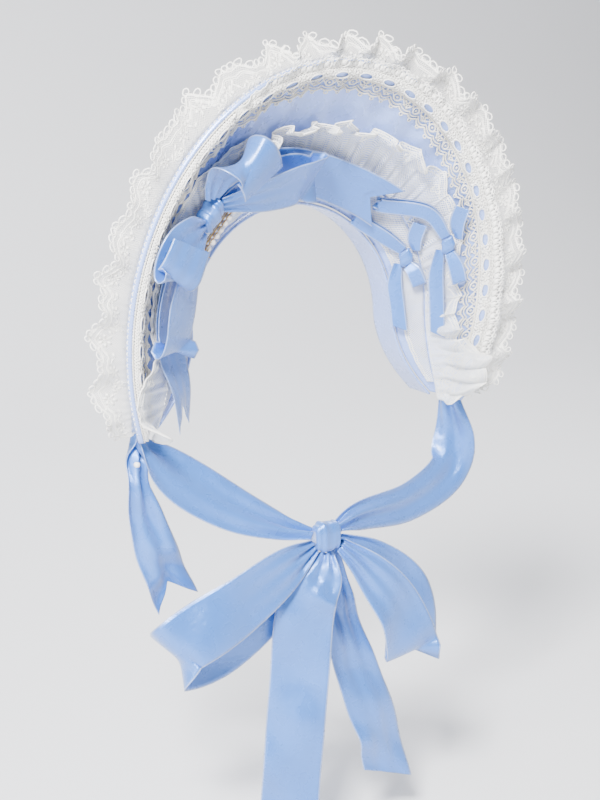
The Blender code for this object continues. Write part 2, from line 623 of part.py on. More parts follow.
def make_ties(satin, pearl):
    knot = chin_knot_place()
    half = CHIN_KNOT_SIZE[0] / 2 + CLEARANCE
    add_tie("chin_tie_right", -1, (
        (0, 0, 0, -0.6, 0.8, 0, 0.34),
        (0, 0.6, 0, -0.6, 0.8, 0, 0.4),
        (0.12, 1.0, 0, -0.6, 0.5, 0.6, 0.75),
        (0.3, 1.2, 0, -0.5, 0.3, 0.9, 0.85),
        (0.55, 1.1, 0, -0.4, 0.3, 0.9, 0.75),
        (0.8, 0.6, 0, -0.3, 0.5, 0.8, 0.5),
        (1, 0, 0, 0, 0.9, 0.4, 0.25)), TIE_SAG, 20, satin)
    add_tie("chin_tie_left", 1, (
        (0, 0, 0, -0.6, 0.8, 0, 0.34),
        (0, 0.25, 0.15, -0.6, 0.8, 0, 0.45),
        (0.04, 0.75, 0.7, -0.6, 0.5, 0.5, 0.75),
        (0.16, 1.05, 1, -0.5, 0.2, 0.9, 0.8),
        (0.45, 0.85, 0.6, -0.2, 0.1, 1, 0.7),
        (0.8, 0.25, 0.1, 0, 0.3, 0.9, 0.5),
        (1, 0, 0, 0, 0.9, 0.4, 0.25)), SLACK_SAG, 22, satin)
    add_knot("chin_knot", knot, (Vector((1, 0, 0)), BACK, UP), CHIN_KNOT_SIZE, satin)
    below = knot - UP * (CHIN_KNOT_SIZE[2] / 2 + CLEARANCE)
    add_hung_ribbon("chin_tail_right", below, LONG_TAIL, (
        (-0.01, 0.01, -0.003, 1, -0.3, 0, 0.3),
        (-0.05, 0.04, 0.07, 1, -0.3, 0, 0.8),
        (-0.10, 0.03, 0.18, 1, -0.5, 0.1, 1),
        (-0.12, 0.02, 0.45, 1, -0.5, 0, 1),
        (-0.15, 0.03, 0.72, 1, -0.5, 0, 1),
        (-0.165, 0.02, 1.0, 1, -0.5, 0, 1)), 16, satin, "slant")
    add_hung_ribbon("chin_tail_left", below, SHORT_TAIL, (
        (0.015, -0.01, -0.005, 1, 0.1, 0, 0.35),
        (0.06, -0.05, 0.12, 1, 0.1, 0.1, 0.5),
        (0.10, -0.06, 0.3, 1, 0, 0.2, 0.7),
        (0.17, -0.03, 0.55, 1, 0.1, 0.3, 0.85),
        (0.25, 0, 0.8, 1, 0.1, 0.25, 0.9),
        (0.29, 0.02, 1.0, 1, 0.1, 0.1, 0.9)), 16, satin, "slant")
    side = Vector((half, 0, 0))
    add_hung_ribbon("chin_loop_right", knot - side - UP * CHIN_KNOT_SIZE[2] * 0.2, RIGHT_LOOP_REACH, (
        (0.0, 0.015, 0.0, 0.4, 0, -0.9, 0.25),
        (-0.22, 0.06, 0.10, 0.4, 0, -0.9, 0.8),
        (-0.55, 0.07, 0.28, 0.5, -0.1, -0.8, 1),
        (-0.85, 0.05, 0.42, 0.5, -0.3, -0.8, 1),
        (-0.90, -0.02, 0.49, 0.5, -0.3, -0.8, 1),
        (-0.82, -0.09, 0.54, 0.5, -0.2, -0.8, 1),
        (-0.52, -0.11, 0.50, 0.5, 0, -0.8, 1),
        (-0.20, -0.08, 0.24, 0.4, 0, -0.9, 0.8),
        (0.0, -0.015, 0.03, 0.4, 0, -0.9, 0.25)), 28, satin)
    add_hung_ribbon("chin_loop_left", knot + side - UP * CHIN_KNOT_SIZE[2] * 0.18, LEFT_LOOP_REACH, (
        (0.0, 0.0, 0.0, 0.5, 0, 0.8, 0.25),
        (0.25, 0.03, 0.17, 0.6, 0, 0.8, 0.7),
        (0.49, 0.04, 0.42, 0.8, 0, 0.5, 0.95),
        (0.55, 0.05, 0.70, 1, 0, 0.1, 1),
        (0.52, 0.11, 0.84, 1, 0, 0, 1),
        (0.45, 0.18, 0.70, 1, 0, 0.1, 1),
        (0.34, 0.19, 0.45, 0.8, 0.1, 0.5, 0.9),
        (0.16, 0.12, 0.20, 0.6, 0.1, 0.8, 0.6),
        (0.0, 0.03, 0.03, 0.5, 0, 0.8, 0.25)), 28, satin)
    outer = tie_anchor(-1) - brim_axes(-0.985, 0.5)[2] * (RIBBON_WALL + 2 * CLEARANCE)
    add_hung_ribbon("streamer", outer, STREAMER_LENGTH, streamer_table(), 18, satin, "slant")
    x, front, down = streamer_table()[2][:3]
    place = outer + Vector((x, -front, -down)) * STREAMER_LENGTH
    add_stud(place - BACK * (RIBBON_WALL / 2 + CLEARANCE + STUD_RADIUS), pearl)


def main():
    clear_scene()
    cutters = bpy.data.collections.new("cutters")
    bpy.context.scene.collection.children.link(cutters)
    satin = new_material("pale_blue_satin", (0.62, 0.74, 0.93), 0.35)
    lace = new_material("ivory_lace", (0.90, 0.89, 0.85), 0.8)
    net = new_material("white_net", (0.88, 0.90, 0.93), 0.8)
    gold = new_material("gold_and_pearl", (0.85, 0.68, 0.42), 0.3, 0.8)
    make_band(satin)
    make_brim(satin)
    make_lace(lace, net, satin)
    make_wide_bow(satin)
    make_brooch(gold)
    make_narrow_bow(0, 0.15, satin)
    make_narrow_bow(1, 0.33, satin)
    make_ties(satin, gold)


main()
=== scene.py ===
"""Lolita half bonnet in pale blue satin, ivory lace and white net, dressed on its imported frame."""
from bisect import bisect_right
from functools import lru_cache
from math import asin, cos, exp, pi, radians, sin

import bpy
from bpy.props import FloatProperty, FloatVectorProperty, PointerProperty
from mathutils import Matrix, Vector


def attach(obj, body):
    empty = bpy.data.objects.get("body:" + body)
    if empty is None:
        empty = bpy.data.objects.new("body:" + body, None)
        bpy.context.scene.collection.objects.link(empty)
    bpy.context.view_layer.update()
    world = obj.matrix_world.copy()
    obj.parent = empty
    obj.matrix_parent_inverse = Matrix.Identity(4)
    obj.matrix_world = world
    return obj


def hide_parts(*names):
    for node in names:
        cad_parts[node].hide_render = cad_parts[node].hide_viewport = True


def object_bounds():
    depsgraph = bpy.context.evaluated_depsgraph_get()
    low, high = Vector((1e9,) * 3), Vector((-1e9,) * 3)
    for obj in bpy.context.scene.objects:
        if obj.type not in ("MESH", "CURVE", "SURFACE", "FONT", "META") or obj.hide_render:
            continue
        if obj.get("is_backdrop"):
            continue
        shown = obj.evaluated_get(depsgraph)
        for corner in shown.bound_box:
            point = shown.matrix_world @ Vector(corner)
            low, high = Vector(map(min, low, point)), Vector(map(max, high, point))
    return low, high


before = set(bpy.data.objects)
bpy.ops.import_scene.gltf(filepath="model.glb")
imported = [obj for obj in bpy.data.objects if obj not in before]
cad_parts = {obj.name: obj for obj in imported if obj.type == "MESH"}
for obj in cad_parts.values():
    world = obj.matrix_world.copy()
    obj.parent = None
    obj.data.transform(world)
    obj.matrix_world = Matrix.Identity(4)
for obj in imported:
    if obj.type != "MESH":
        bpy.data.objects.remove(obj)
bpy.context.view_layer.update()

bl_info = {
    "name": "Lolita Half Bonnet",
    "version": (1, 0, 0),
    "blender": (4, 5, 0),
    "location": "3D View > Sidebar > Bonnet",
    "description": "Dresses the frame of a half bonnet in satin, lace, net and ribbon",
    "category": "Object",
}

MM = 0.001

# Head band and brim, as in the frame
BAND_HALF_WIDTH = 88 * MM
BAND_ARCH_HEIGHT = 90 * MM
BAND_DROP = 160 * MM
BAND_END_SPREAD = 34 * MM
BAND_END_LEAN = 12 * MM
BAND_WIDTH = 28 * MM
BAND_WALL = 2 * MM
RIM_HALF_WIDTH = 158 * MM
RIM_RISE = 110 * MM
RIM_WIDEST_DROP = 80 * MM
RIM_DROP = 163 * MM
RIM_FORWARD_TOP = 88 * MM
RIM_FORWARD_LOW = 42 * MM
RIM_SWEEP = 0.75
BRIM_WALL = 3 * MM
BRIM_BULGE = 4 * MM
BRIM_BULGE_WAY = (0.8, 0.6)
PLEAT_DEPTH = 1.4 * MM
PLEAT_PAIRS = 9
PLEAT_ZONE = (0.55, 1.0, 0.2)
PLEAT_REACH = (0.4, 0.2)

# Lace and net, as in the frame
LACE_WALL = 1 * MM
RUFFLE_WIDTH = 34 * MM
RUFFLE_TOP_SHARE = 0.66
RUFFLE_SEAM = 8 * MM
RUFFLE_WAVE = 10 * MM
RUFFLE_FOLDS = 11
RUFFLE_LEAN = radians(24)
FOLD_DRIFT = 0.7
FOLD_SWING = 0.25
FOLD_OVERHANG = 0.45
BLOWN_SPAN = (-0.34, -0.1)  # where the lace has blown over towards the back
BLOWN_TILT = radians(36)
FRILL_SEAM = 33 * MM
FRILL_WIDTH = 47 * MM
FRILL_WAVE = 13 * MM
FRILL_FOLDS = 9
FRILL_PRESSED = 0.3
FRILL_END_REACH = 1.15
RUFFLE_EXTRA = 9 * MM  # height of the small ruffles on the frill's folds
FRILL_CURLS = 12.5  # small ruffles on half of the rim
END_CURLS = 27  # the same at the frill's left end
UNDER_WIDE_BOW = (-0.94, -0.24)
UNDER_UPPER_TAIL = (-0.19, 0.41)
UNDER_NARROW_BOWS = (0.42, 0.80)
ENDS_SHORT = 0.02
HEADING_WIDTH = 28 * MM
HEADING_WAVE = 1 * MM
HEADING_STOP = 6 * MM
BRAID_WIDTH = 25 * MM
BRAID_EDGE = 2 * MM
BRAID_TOOTH = 3 * MM
BRAID_REPEATS = 33
INSERTION_WIDTH = 7 * MM
INSERTION_EDGE = 5 * MM

# Satin ribbon, bows and ties, as in the frame
BOW_RIBBON_WIDTH = 40 * MM
TIE_RIBBON_WIDTH = 46 * MM
RIBBON_WALL = 1 * MM
NARROW_WIDTH = 12 * MM
BOW_PLACE = (-0.415, 0.44)
BOW_KNOT_SIZE = (22 * MM, 24 * MM, 17 * MM)
BROOCH_LENGTH = 44 * MM
BROOCH_BAR = (4 * MM, 1.6 * MM)
BROOCH_DROP = 4.5 * MM
PEARL_RADIUS = 2.4 * MM
PEARL_COUNT = 8
BROOCH_ROLL = radians(48)  # of the solid's bar, from straight in towards the front
BROOCH_TURNED = radians(22)  # how much further the bar is rolled than its solid
BROOCH_STAND = 2.5 * MM
NARROW_KNOT_SIZE = (12 * MM, 13 * MM, 7 * MM)
NARROW_BOW_PLACES = ((0.565, 0.20), (0.595, 0.57))
CHIN_DROP = 249 * MM
CHIN_FORWARD = 68 * MM
CHIN_KNOT_SIZE = (22 * MM, 16 * MM, 26 * MM)
TIE_SAG = 16 * MM
SLACK_SAG = 52 * MM
SLACK_SPREAD = 17 * MM
RIGHT_LOOP_REACH = 131 * MM
LEFT_LOOP_REACH = 118 * MM
LONG_TAIL = 222 * MM
SHORT_TAIL = 195 * MM
STREAMER_LENGTH = 138 * MM
STUD_RADIUS = 2.5 * MM
CLEARANCE = 0.4 * MM
SHEET_CLEARANCE = 1.0 * MM
KNOT_CLEARANCE = 0.8 * MM
UP = Vector((0, 0, 1))
BACK = Vector((0, 1, 0))
TIE_RISE = (BACK + UP) * 3 * MM
INNER_FACE = BRIM_WALL / 2 + SHEET_CLEARANCE

# Camera of the photograph
CAMERA_PLACE = (-0.6384, -1.1334, 0.1448)
CAMERA_TURN = (radians(77), 0, radians(-30))
CAMERA_LENS = 76.05
FLOOR_GAP = 6 * MM
WORLD_COLOUR = "#e3e6ee"
# Painted shade at the pearls' rims: the greyer lavender the pearl colour turns to where a pearl is seen edge-on
NACRE_RIM_PAINTED_SHADE = "#d8d4de"
WORLD_STRENGTH = 0.52

# Lights: name, place, size, power, colour, target
LIGHTS = (
    ("key", (-1.2, -1.3, 1.35), 0.5, 225, (1.0, 0.985, 0.96), (0, -0.05, -0.15)),
    ("strip", (-1.5, -0.7, 0.2), 0.45, 22, (1.0, 1.0, 1.0), (0, -0.05, -0.15)),
    ("fill", (1.5, -1.3, 0.4), 1.6, 7, (0.93, 0.96, 1.0), (0, -0.05, -0.15)),
    ("back", (0.4, 1.3, 1.5), 1.0, 40, (1.0, 1.0, 1.0), (0, -0.05, -0.15)),
    ("wall", (0.3, 0.7, 1.4), 1.2, 40, (1.0, 1.0, 1.0), (0.9, 2.7, 0.3)),
)


def mix(a, b, share):
    return a + (b - a) * share


def smooth(share):
    share = min(max(share, 0.0), 1.0)
    return share * share * (3 - 2 * share)


def to_linear(code):
    """Linear red, green and blue of an sRGB hex colour."""
    parts = [int(code[k:k + 2], 16) / 255 for k in (1, 3, 5)]
    return tuple(p / 12.92 if p <= 0.04045 else ((p + 0.055) / 1.055) ** 2.4 for p in parts)


def scatter(number):
    """A fixed, uneven share from 0 to 1 for a whole number."""
    return (sin(number * 12.9898 + 4.1414) * 43758.5453) % 1


def length_property(name, default, description):
    return FloatProperty(name=name, description=description, default=default, unit="LENGTH", precision=5)


def colour_property(name, code, description):
    return FloatVectorProperty(name=name, description=description, default=to_linear(code),
                               subtype="COLOR", size=3, min=0, max=1)


class BonnetFinish(bpy.types.PropertyGroup):
    """Sizes of the trimmings and colours of the cloths."""

    scallop: length_property("Scallop", 23 * MM, "Pitch of the outer lace's scallops on the flat lace")
    scallop_depth: length_property("Scallop depth", 4 * MM, "How deep the scallops are cut in")
    picot: length_property("Picot", 5.2 * MM, "Pitch of the round loops along the outer lace's edge")
    edge_thread: length_property("Edge thread", 1.2 * MM, "Diameter of the thread of the picots")
    fine_thread: length_property("Fine thread", 0.9 * MM, "Diameter of the embroidery's outline thread")
    guipure_cord: length_property("Guipure cord", 1.6 * MM, "Diameter of the braid's cords")
    net_wall: length_property("Net thickness", 0.4 * MM, "Thickness of the net")
    lace_mesh: length_property("Lace mesh", 1.5 * MM, "Width of one mesh of the outer lace's net")
    tulle_mesh: length_property("Tulle mesh", 1.8 * MM, "Width of one mesh of the inner frill's net")
    binding: length_property("Binding", 6 * MM, "Width of the satin binding on each face of the brim")
    stitch: length_property("Stitch", 2.6 * MM, "Length of one hand stitch")
    satin: colour_property("Brim satin", "#8eaaee", "Colour of the satin over the brim and band")
    ribbon: colour_property("Ribbon satin", "#3875c9", "Colour of the satin ribbons")
    lace: colour_property("Lace", "#faf8f3", "Colour of the embroidery and picots")
    # Greyer than the lace: the cord's own ivory darkened with painted shade, for the shade that lies among the
    # braid's cords
    guipure: colour_property("Guipure", "#e0dcd2", "Colour of the cord braid")
    tulle: colour_property("Tulle", "#eef1f6", "Colour of the inner frill's net")
    gold: colour_property("Gold", "#dcb877", "Colour of the brooch's metal")
    pearl: colour_property("Pearl", "#f3eee6", "Colour of the pearls")
    floor: colour_property("Floor", "#dddee2", "Colour of the floor and backdrop")


# ---------------------------------------------------------------- shape of the frame

@lru_cache(maxsize=None)
def band_line(t):
    """Middle of the band's underside, from -1 at the wearer's right end over 0 on top to 1."""
    arch_share = 0.75
    q = abs(t)
    side = 1 if t >= 0 else -1
    if q < arch_share:
        turn = q / arch_share * pi / 2
        x = BAND_HALF_WIDTH * sin(turn)
        z = -BAND_ARCH_HEIGHT * (1 - cos(turn))
    else:
        leg = (q - arch_share) / (1 - arch_share)
        x = BAND_HALF_WIDTH + BAND_END_SPREAD * leg * leg
        z = mix(-BAND_ARCH_HEIGHT, -BAND_DROP, leg)
    return Vector((side * x, -BAND_END_LEAN * q * q, z))


@lru_cache(maxsize=None)
def band_out(t):
    """Direction straight off the band, outwards."""
    step = 0.002
    along = band_line(t + step) - band_line(t - step)
    out = along.cross(BACK)
    out.y = 0
    out.normalize()
    return out if out.dot(band_line(t) + BAND_ARCH_HEIGHT * UP) > 0 else -out


@lru_cache(maxsize=None)
def rim_line(t):
    """Edge of the brim, on an ellipse that stops a little under its widest place."""
    height = RIM_RISE + RIM_WIDEST_DROP
    end_turn = asin((RIM_DROP - RIM_WIDEST_DROP) / height)
    turn = pi / 2 - abs(t) * (pi / 2 + end_turn)
    side = 1 if t >= 0 else -1
    z = -RIM_WIDEST_DROP + height * sin(turn)
    climb = max((z + RIM_DROP) / (RIM_RISE + RIM_DROP), 0)
    forward = mix(RIM_FORWARD_LOW, RIM_FORWARD_TOP, climb ** RIM_SWEEP)
    return Vector((side * RIM_HALF_WIDTH * cos(turn), -forward, z))


@lru_cache(maxsize=None)
def root_line(t):
    """Where the brim starts, on the outer face of the band beside its front edge."""
    seat = BAND_WALL + CLEARANCE + BRIM_WALL / 2
    return band_line(t) + band_out(t) * seat + BACK * (BRIM_WALL - BAND_WIDTH / 2)


def brim_width(t):
    return (rim_line(t) - root_line(t)).length


@lru_cache(maxsize=None)
def brim_smooth(t, v):
    """Brim without its pleats, from 0 at the band to 1 at the rim."""
    root = root_line(t)
    rim = rim_line(t)
    away = mix(root, rim, 0.5) + RIM_WIDEST_DROP * UP
    away.y = 0
    away.normalize()
    outwards, backwards = BRIM_BULGE_WAY
    bulge = BRIM_BULGE * sin(pi * min(max(v, 0), 1))
    return mix(root, rim, v) + (away * outwards + BACK * backwards) * bulge


@lru_cache(maxsize=None)
def brim_axes(t, v):
    """Directions along the rim, towards the rim and off the inner face."""
    step = 0.004
    along = (brim_smooth(t + step, v) - brim_smooth(t - step, v)).normalized()
    outward = (rim_line(t) - root_line(t)).normalized()
    inward = along.cross(outward).normalized()
    middle = Vector((0, -RIM_FORWARD_TOP, -RIM_WIDEST_DROP))
    if inward.dot(middle - brim_smooth(t, v)) < 0:
        inward = -inward
    return along, outward, inward


def brim_point(t, v, off=0.0):
    """Place off the brim's middle surface, on its inner side."""
    inward = brim_axes(t, v)[2]
    low, high, fade = PLEAT_ZONE
    full, fall = PLEAT_REACH
    swell = smooth((v - low) / fade) * smooth((high - v) / fade) * smooth((full + fall - abs(t)) / fall)
    return brim_smooth(t, v) + inward * (off + PLEAT_DEPTH * swell * cos(2 * pi * PLEAT_PAIRS * t))


def soft_creases(t, v):
    """Slack of the satin over its stiffening: shallow creases that run in from the rim."""
    swell = smooth(v / 0.2) * smooth((0.93 - v) / 0.2)
    wander = 0.35 * sin(5 * v + 9 * t)
    wave = sin(31 * t + wander) + 0.6 * sin(53 * t + 2 * v + 1) + 0.4 * sin(17 * t - 3 * v)
    return 0.7 * MM * swell * wave


def ruffle_place(t, s):
    """Gathered lace round the rim: sewn on the outer face, then free in deep folds."""
    along, outward, inward = brim_axes(t, 1)
    start = 1 - RUFFLE_SEAM / brim_width(t)
    seam = brim_point(t, start, -(INNER_FACE + LACE_WALL / 2))
    width = RUFFLE_WIDTH * mix(RUFFLE_TOP_SHARE, 1, smooth(abs(t) / 0.5))
    reach = s * width
    free = max(reach - RUFFLE_SEAM, 0)
    fold = smooth(free / (width - RUFFLE_SEAM))
    phase = 2 * pi * RUFFLE_FOLDS * t + FOLD_DRIFT * sin(RUFFLE_FOLDS * t)
    size = RUFFLE_WAVE * fold * (1 - FOLD_SWING + FOLD_SWING * sin(7 * t + 1))
    tilt = RUFFLE_LEAN + BLOWN_TILT * within(t, BLOWN_SPAN, 0.12)
    lean = outward * cos(tilt) - inward * sin(tilt)
    run = outward * min(reach, RUFFLE_SEAM) + lean * free * (1 - FOLD_SWING * (0.25 + 0.2 * sin(phase * 2)))
    size *= mix(1, 0.6, smooth((-t - 0.25) / 0.2))
    flutter = fold * (0.8 * sin(phase * 2.7 + 1) + 0.4 * sin(phase * 4.3)) * MM
    gathers = 0.35 * MM * smooth(1 - free / width * 2.5) * sin(phase * 7)
    off = -size * sin(phase) - flutter + gathers
    return seam + run + inward * off + along * size * FOLD_OVERHANG * 0.35 * sin(phase * 2)


def is_crest(t):
    """1 where a narrow bow sits on the frill, so that its knot has a crest to rest on."""
    reach = 0.035
    return max(exp(-((t - place[0]) / reach) ** 2) for place in NARROW_BOW_PLACES)


def within(t, span, fade=0.05):
    """1 between the ends of a span, falling to 0 outside it."""
    return smooth((t - span[0]) / fade + 1) * smooth((span[1] - t) / fade + 1)


def frill_lift(t, s):
    """How far the gathered net stands off the brim, pressed flat under the bows' ribbons."""
    wave = 0.5 + 0.5 * sin(2 * pi * FRILL_FOLDS * t + FOLD_DRIFT * sin(FRILL_FOLDS * t))
    wave = mix(wave, 1, is_crest(t))
    free_from = mix(0.08, 0.67, within(t, UNDER_UPPER_TAIL))
    size = FRILL_WAVE * mix(1, FRILL_PRESSED, within(t, UNDER_NARROW_BOWS))
    size *= 1 - within(t, UNDER_WIDE_BOW)
    near_end = smooth((abs(t) - 0.76) / 0.05)
    at_seam = smooth((abs(t) - 0.82) / 0.08)
    over_braid = 2 * (LACE_WALL + SHEET_CLEARANCE) + RIBBON_WALL
    over_braid *= near_end * mix(smooth(s / 0.35), 1, at_seam)
    return over_braid + size * wave * smooth((s - free_from) / (0.95 - free_from))


def frill_seam(t):
    """Distance of the gathering line from the brim's root."""
    return min(FRILL_SEAM, 0.3 * brim_width(t))


def frill_place(t, s):
    """Gathered net from its seam at s = 0 to its free edge, which runs over the braid at both ends."""
    full = frill_seam(t) + FRILL_WIDTH
    room = brim_width(t) - BRAID_EDGE - BRAID_WIDTH - BRAID_TOOTH - CLEARANCE
    reach = mix(min(full, room), min(full, FRILL_END_REACH * brim_width(t)), smooth((abs(t) - 0.8) / 0.1))
    v = mix(frill_seam(t), reach, s) / brim_width(t)
    gathers = 0.65 * MM * (1 - 0.5 * s) * (sin(210 * t + 2 * s) + 0.6 * sin(331 * t)) * smooth(s / 0.1)
    free_from = mix(0.2, 0.67, within(t, UNDER_UPPER_TAIL))
    free = smooth((s - free_from) / (1 - free_from)) * (1 - 0.85 * within(t, UNDER_WIDE_BOW))
    low_end = smooth((t - 0.72) / 0.1)
    sway = free * RUFFLE_EXTRA * mix(1, 0.7, within(t, UNDER_NARROW_BOWS)) * smooth((t + 0.95) / 0.15)
    free *= mix(1, 0.26, within(t, UNDER_NARROW_BOWS))
    phase = 2 * pi * FRILL_CURLS * t + 2.6 * sin(8 * t)
    rise = RUFFLE_EXTRA * free * (0.5 + 0.5 * sin(phase)) * (1 + 0.35 * sin(5.3 * t + 2))
    end_wave = 1 + sin(2 * pi * END_CURLS * t + 2.5 * s)
    rise += RUFFLE_EXTRA * 0.6 * low_end * smooth((s - 0.15) / 0.5) * end_wave
    point = brim_point(t, v, INNER_FACE + LACE_WALL / 2 + frill_lift(t, s) + gathers + rise)
    along, outward = brim_axes(t, 1)[:2]
    return point + sway * (along * 0.42 * sin(2 * phase + 0.6) + outward * 0.5 * sin(phase + 0.3))


def heading_place(t, s):
    """Lower edge of the same net, lying between the gathering line and the band."""
    top = frill_seam(t) - SHEET_CLEARANCE
    v = (top - s * min(HEADING_WIDTH, top - HEADING_STOP)) / brim_width(t)
    lift = HEADING_WAVE * s * (0.5 + 0.5 * sin(2 * pi * 1.5 * FRILL_FOLDS * t))
    return brim_point(t, v, INNER_FACE + LACE_WALL / 2 + lift)


def braid_place(t, s, lift=0.0):
    """Braid beside the rim, with its toothed inner edge at s = 0. It narrows at the brim's ends."""
    room = min(1, 0.62 * brim_width(t) / BRAID_WIDTH)
    inset = BRAID_EDGE + (1 - s) * BRAID_WIDTH * room
    return brim_point(t, 1 - inset / brim_width(t), INNER_FACE + LACE_WALL / 2 + lift)


def curve_through(points, share):
    """Point of a smooth curve through the points, at a share of their count."""
    last = len(points) - 1
    at = min(max(share, 0.0), 1.0) * last
    k = min(int(at), last - 1)
    f = at - k
    before = points[k - 1] if k > 0 else points[0] * 2 - points[1]
    after = points[k + 2] if k + 2 <= last else points[last] * 2 - points[last - 1]
    a, b = points[k], points[k + 1]
    return 0.5 * (2 * a + (b - before) * f + (2 * before - 5 * a + 4 * b - after) * f * f
                  + (3 * a - before - 3 * b + after) * f * f * f)


def spread(u, short=0.0):
    """Place along the rim for a share across a sheet that stops short of both ends."""
    return (2 * u - 1) * (1 - short)


def rim_share(length, t, v):
    """A length along the rim as a difference in t."""
    step = 0.01
    return length * 2 * step / (brim_smooth(t + step, v) - brim_smooth(t - step, v)).length


# ---------------------------------------------------------------- cloth and thread

class Cloth:
    """Grid over a sheet as it lies. It turns places on the flat cloth into places in the scene."""

    def __init__(self, columns, rows, place, gauge=0.5, width=None):
        self.rows = rows
        self.grid = [[place(i / columns, j / rows) for j in range(rows + 1)] for i in range(columns + 1)]
        line = [column[round(gauge * rows)] for column in self.grid]
        self.marks = [0.0]
        for a, b in zip(line, line[1:]):
            self.marks.append(self.marks[-1] + (b - a).length)
        self.length = self.marks[-1]
        self.widths = [width or sum((b - a).length for a, b in zip(c, c[1:])) for c in self.grid]

    def find(self, x):
        x = min(max(x, 0.0), self.length)
        i = min(max(bisect_right(self.marks, x) - 1, 0), len(self.marks) - 2)
        return i, (x - self.marks[i]) / (self.marks[i + 1] - self.marks[i])

    def width(self, x):
        i, f = self.find(x)
        return mix(self.widths[i], self.widths[i + 1], f)

    def at(self, x, y):
        """Point and normal for a place along and across the flat cloth."""
        i, f = self.find(x)
        across = y / self.width(x) * self.rows
        j = min(max(int(across), 0), self.rows - 1)
        g = across - j
        a, b, c, d = self.grid[i][j], self.grid[i + 1][j], self.grid[i][j + 1], self.grid[i + 1][j + 1]
        low = mix(a, b, f)
        high = mix(c, d, f)
        normal = mix(b - a, d - c, g).cross(high - low).normalized()
        return mix(low, high, g), normal

    def flat_area(self):
        steps = zip(self.marks, self.marks[1:], self.widths, self.widths[1:])
        return sum((right - left) * (a + b) / 2 for left, right, a, b in steps)


class Threads:
    """Cords and filled stitches collected in one mesh."""

    def __init__(self):
        self.points = []
        self.faces = []
        self.corners = []

    def add_face(self, indices, corners):
        self.faces.append(indices)
        self.corners += corners

    def cord(self, path, radius, closed=False, sides=4):
        """Round cord along (point, normal) pairs."""
        count = len(path)
        base = len(self.points)
        for k, (point, normal) in enumerate(path):
            before = path[k - 1][0] if closed or k else point
            after = path[(k + 1) % count][0] if closed or k + 1 < count else point
            side = (after - before).cross(normal).normalized()
            for s in range(sides):
                turn = 2 * pi * s / sides
                self.points.append(point + (side * cos(turn) + normal * sin(turn)) * radius)
        run = 0.0
        for k in range(count if closed else count - 1):
            here = base + k * sides
            there = base + (k + 1) % count * sides
            step = (path[(k + 1) % count][0] - path[k][0]).length
            for s in range(sides):
                e = (s + 1) % sides
                low, high = s / sides, (s + 1) / sides
                self.add_face((here + s, there + s, there + e, here + e),
                              [(run, low), (run + step, low), (run + step, high), (run, high)])
            run += step
        if not closed:
            first = tuple(base + s for s in range(sides))
            last = tuple(base + (count - 1) * sides + s for s in reversed(range(sides)))
            self.add_face(first, [(0, s / sides) for s in range(sides)])
            self.add_face(last, [(run, s / sides) for s in range(sides)])

    def pad(self, outline, height):
        """Filled satin stitch: a lens over a closed outline of (point, normal) pairs."""
        count = len(outline)
        base = len(self.points)
        middle = sum((point for point, _ in outline), Vector()) / count
        normal = sum((n for _, n in outline), Vector()).normalized()
        self.points += [point for point, _ in outline]
        self.points += [middle + normal * height, middle - normal * height]
        for k in range(count):
            e = (k + 1) % count
            low, high = k * 0.25 * MM, (k + 1) * 0.25 * MM
            self.add_face((base + k, base + e, base + count), [(0, low), (0, high), (2 * MM, low)])
            self.add_face((base + e, base + k, base + count + 1), [(0, high), (0, low), (2 * MM, low)])

    def build(self, name, material):
        return new_object(name, self.points, self.faces, self.corners, material)


def new_object(name, points, faces, corners, material):
    """Smooth mesh object whose UV map holds metres."""
    mesh = bpy.data.meshes.new(name)
    mesh.from_pydata(points, [], faces)
    layer = mesh.uv_layers.new(name="cloth")
    layer.data.foreach_set("uv", [value for corner in corners for value in corner])
    mesh.materials.append(material)
    mesh.shade_smooth()
    obj = bpy.data.objects.new(name, mesh)
    bpy.context.collection.objects.link(obj)
    return obj


def add_cloth(name, cloth, columns, rows, wall, material, low=None, high=None):
    """Sheet over a cloth, from low(x) to high(x) across it."""
    points, faces, corners = [], [], []
    flats = []
    for i in range(columns + 1):
        x = cloth.length * i / columns
        start = low(x) if low else 0.0
        end = high(x) if high else cloth.width(x)
        for j in range(rows + 1):
            y = mix(start, end, j / rows)
            points.append(cloth.at(x, y)[0])
            flats.append((x, y))
    for i in range(columns):
        for j in range(rows):
            a = i * (rows + 1) + j
            quad = (a, a + rows + 1, a + rows + 2, a + 1)
            faces.append(quad)
            corners += [flats[k] for k in quad]
    obj = new_object(name, points, faces, corners, material)
    if wall:
        solid = obj.modifiers.new("Wall", "SOLIDIFY")
        solid.thickness = wall
        solid.offset = 0
    return obj


def squared(value, power):
    """A sine or cosine raised to a power with its sign kept, which squares a circle's corners."""
    return abs(value) ** power * (1 if value > 0 else -1)


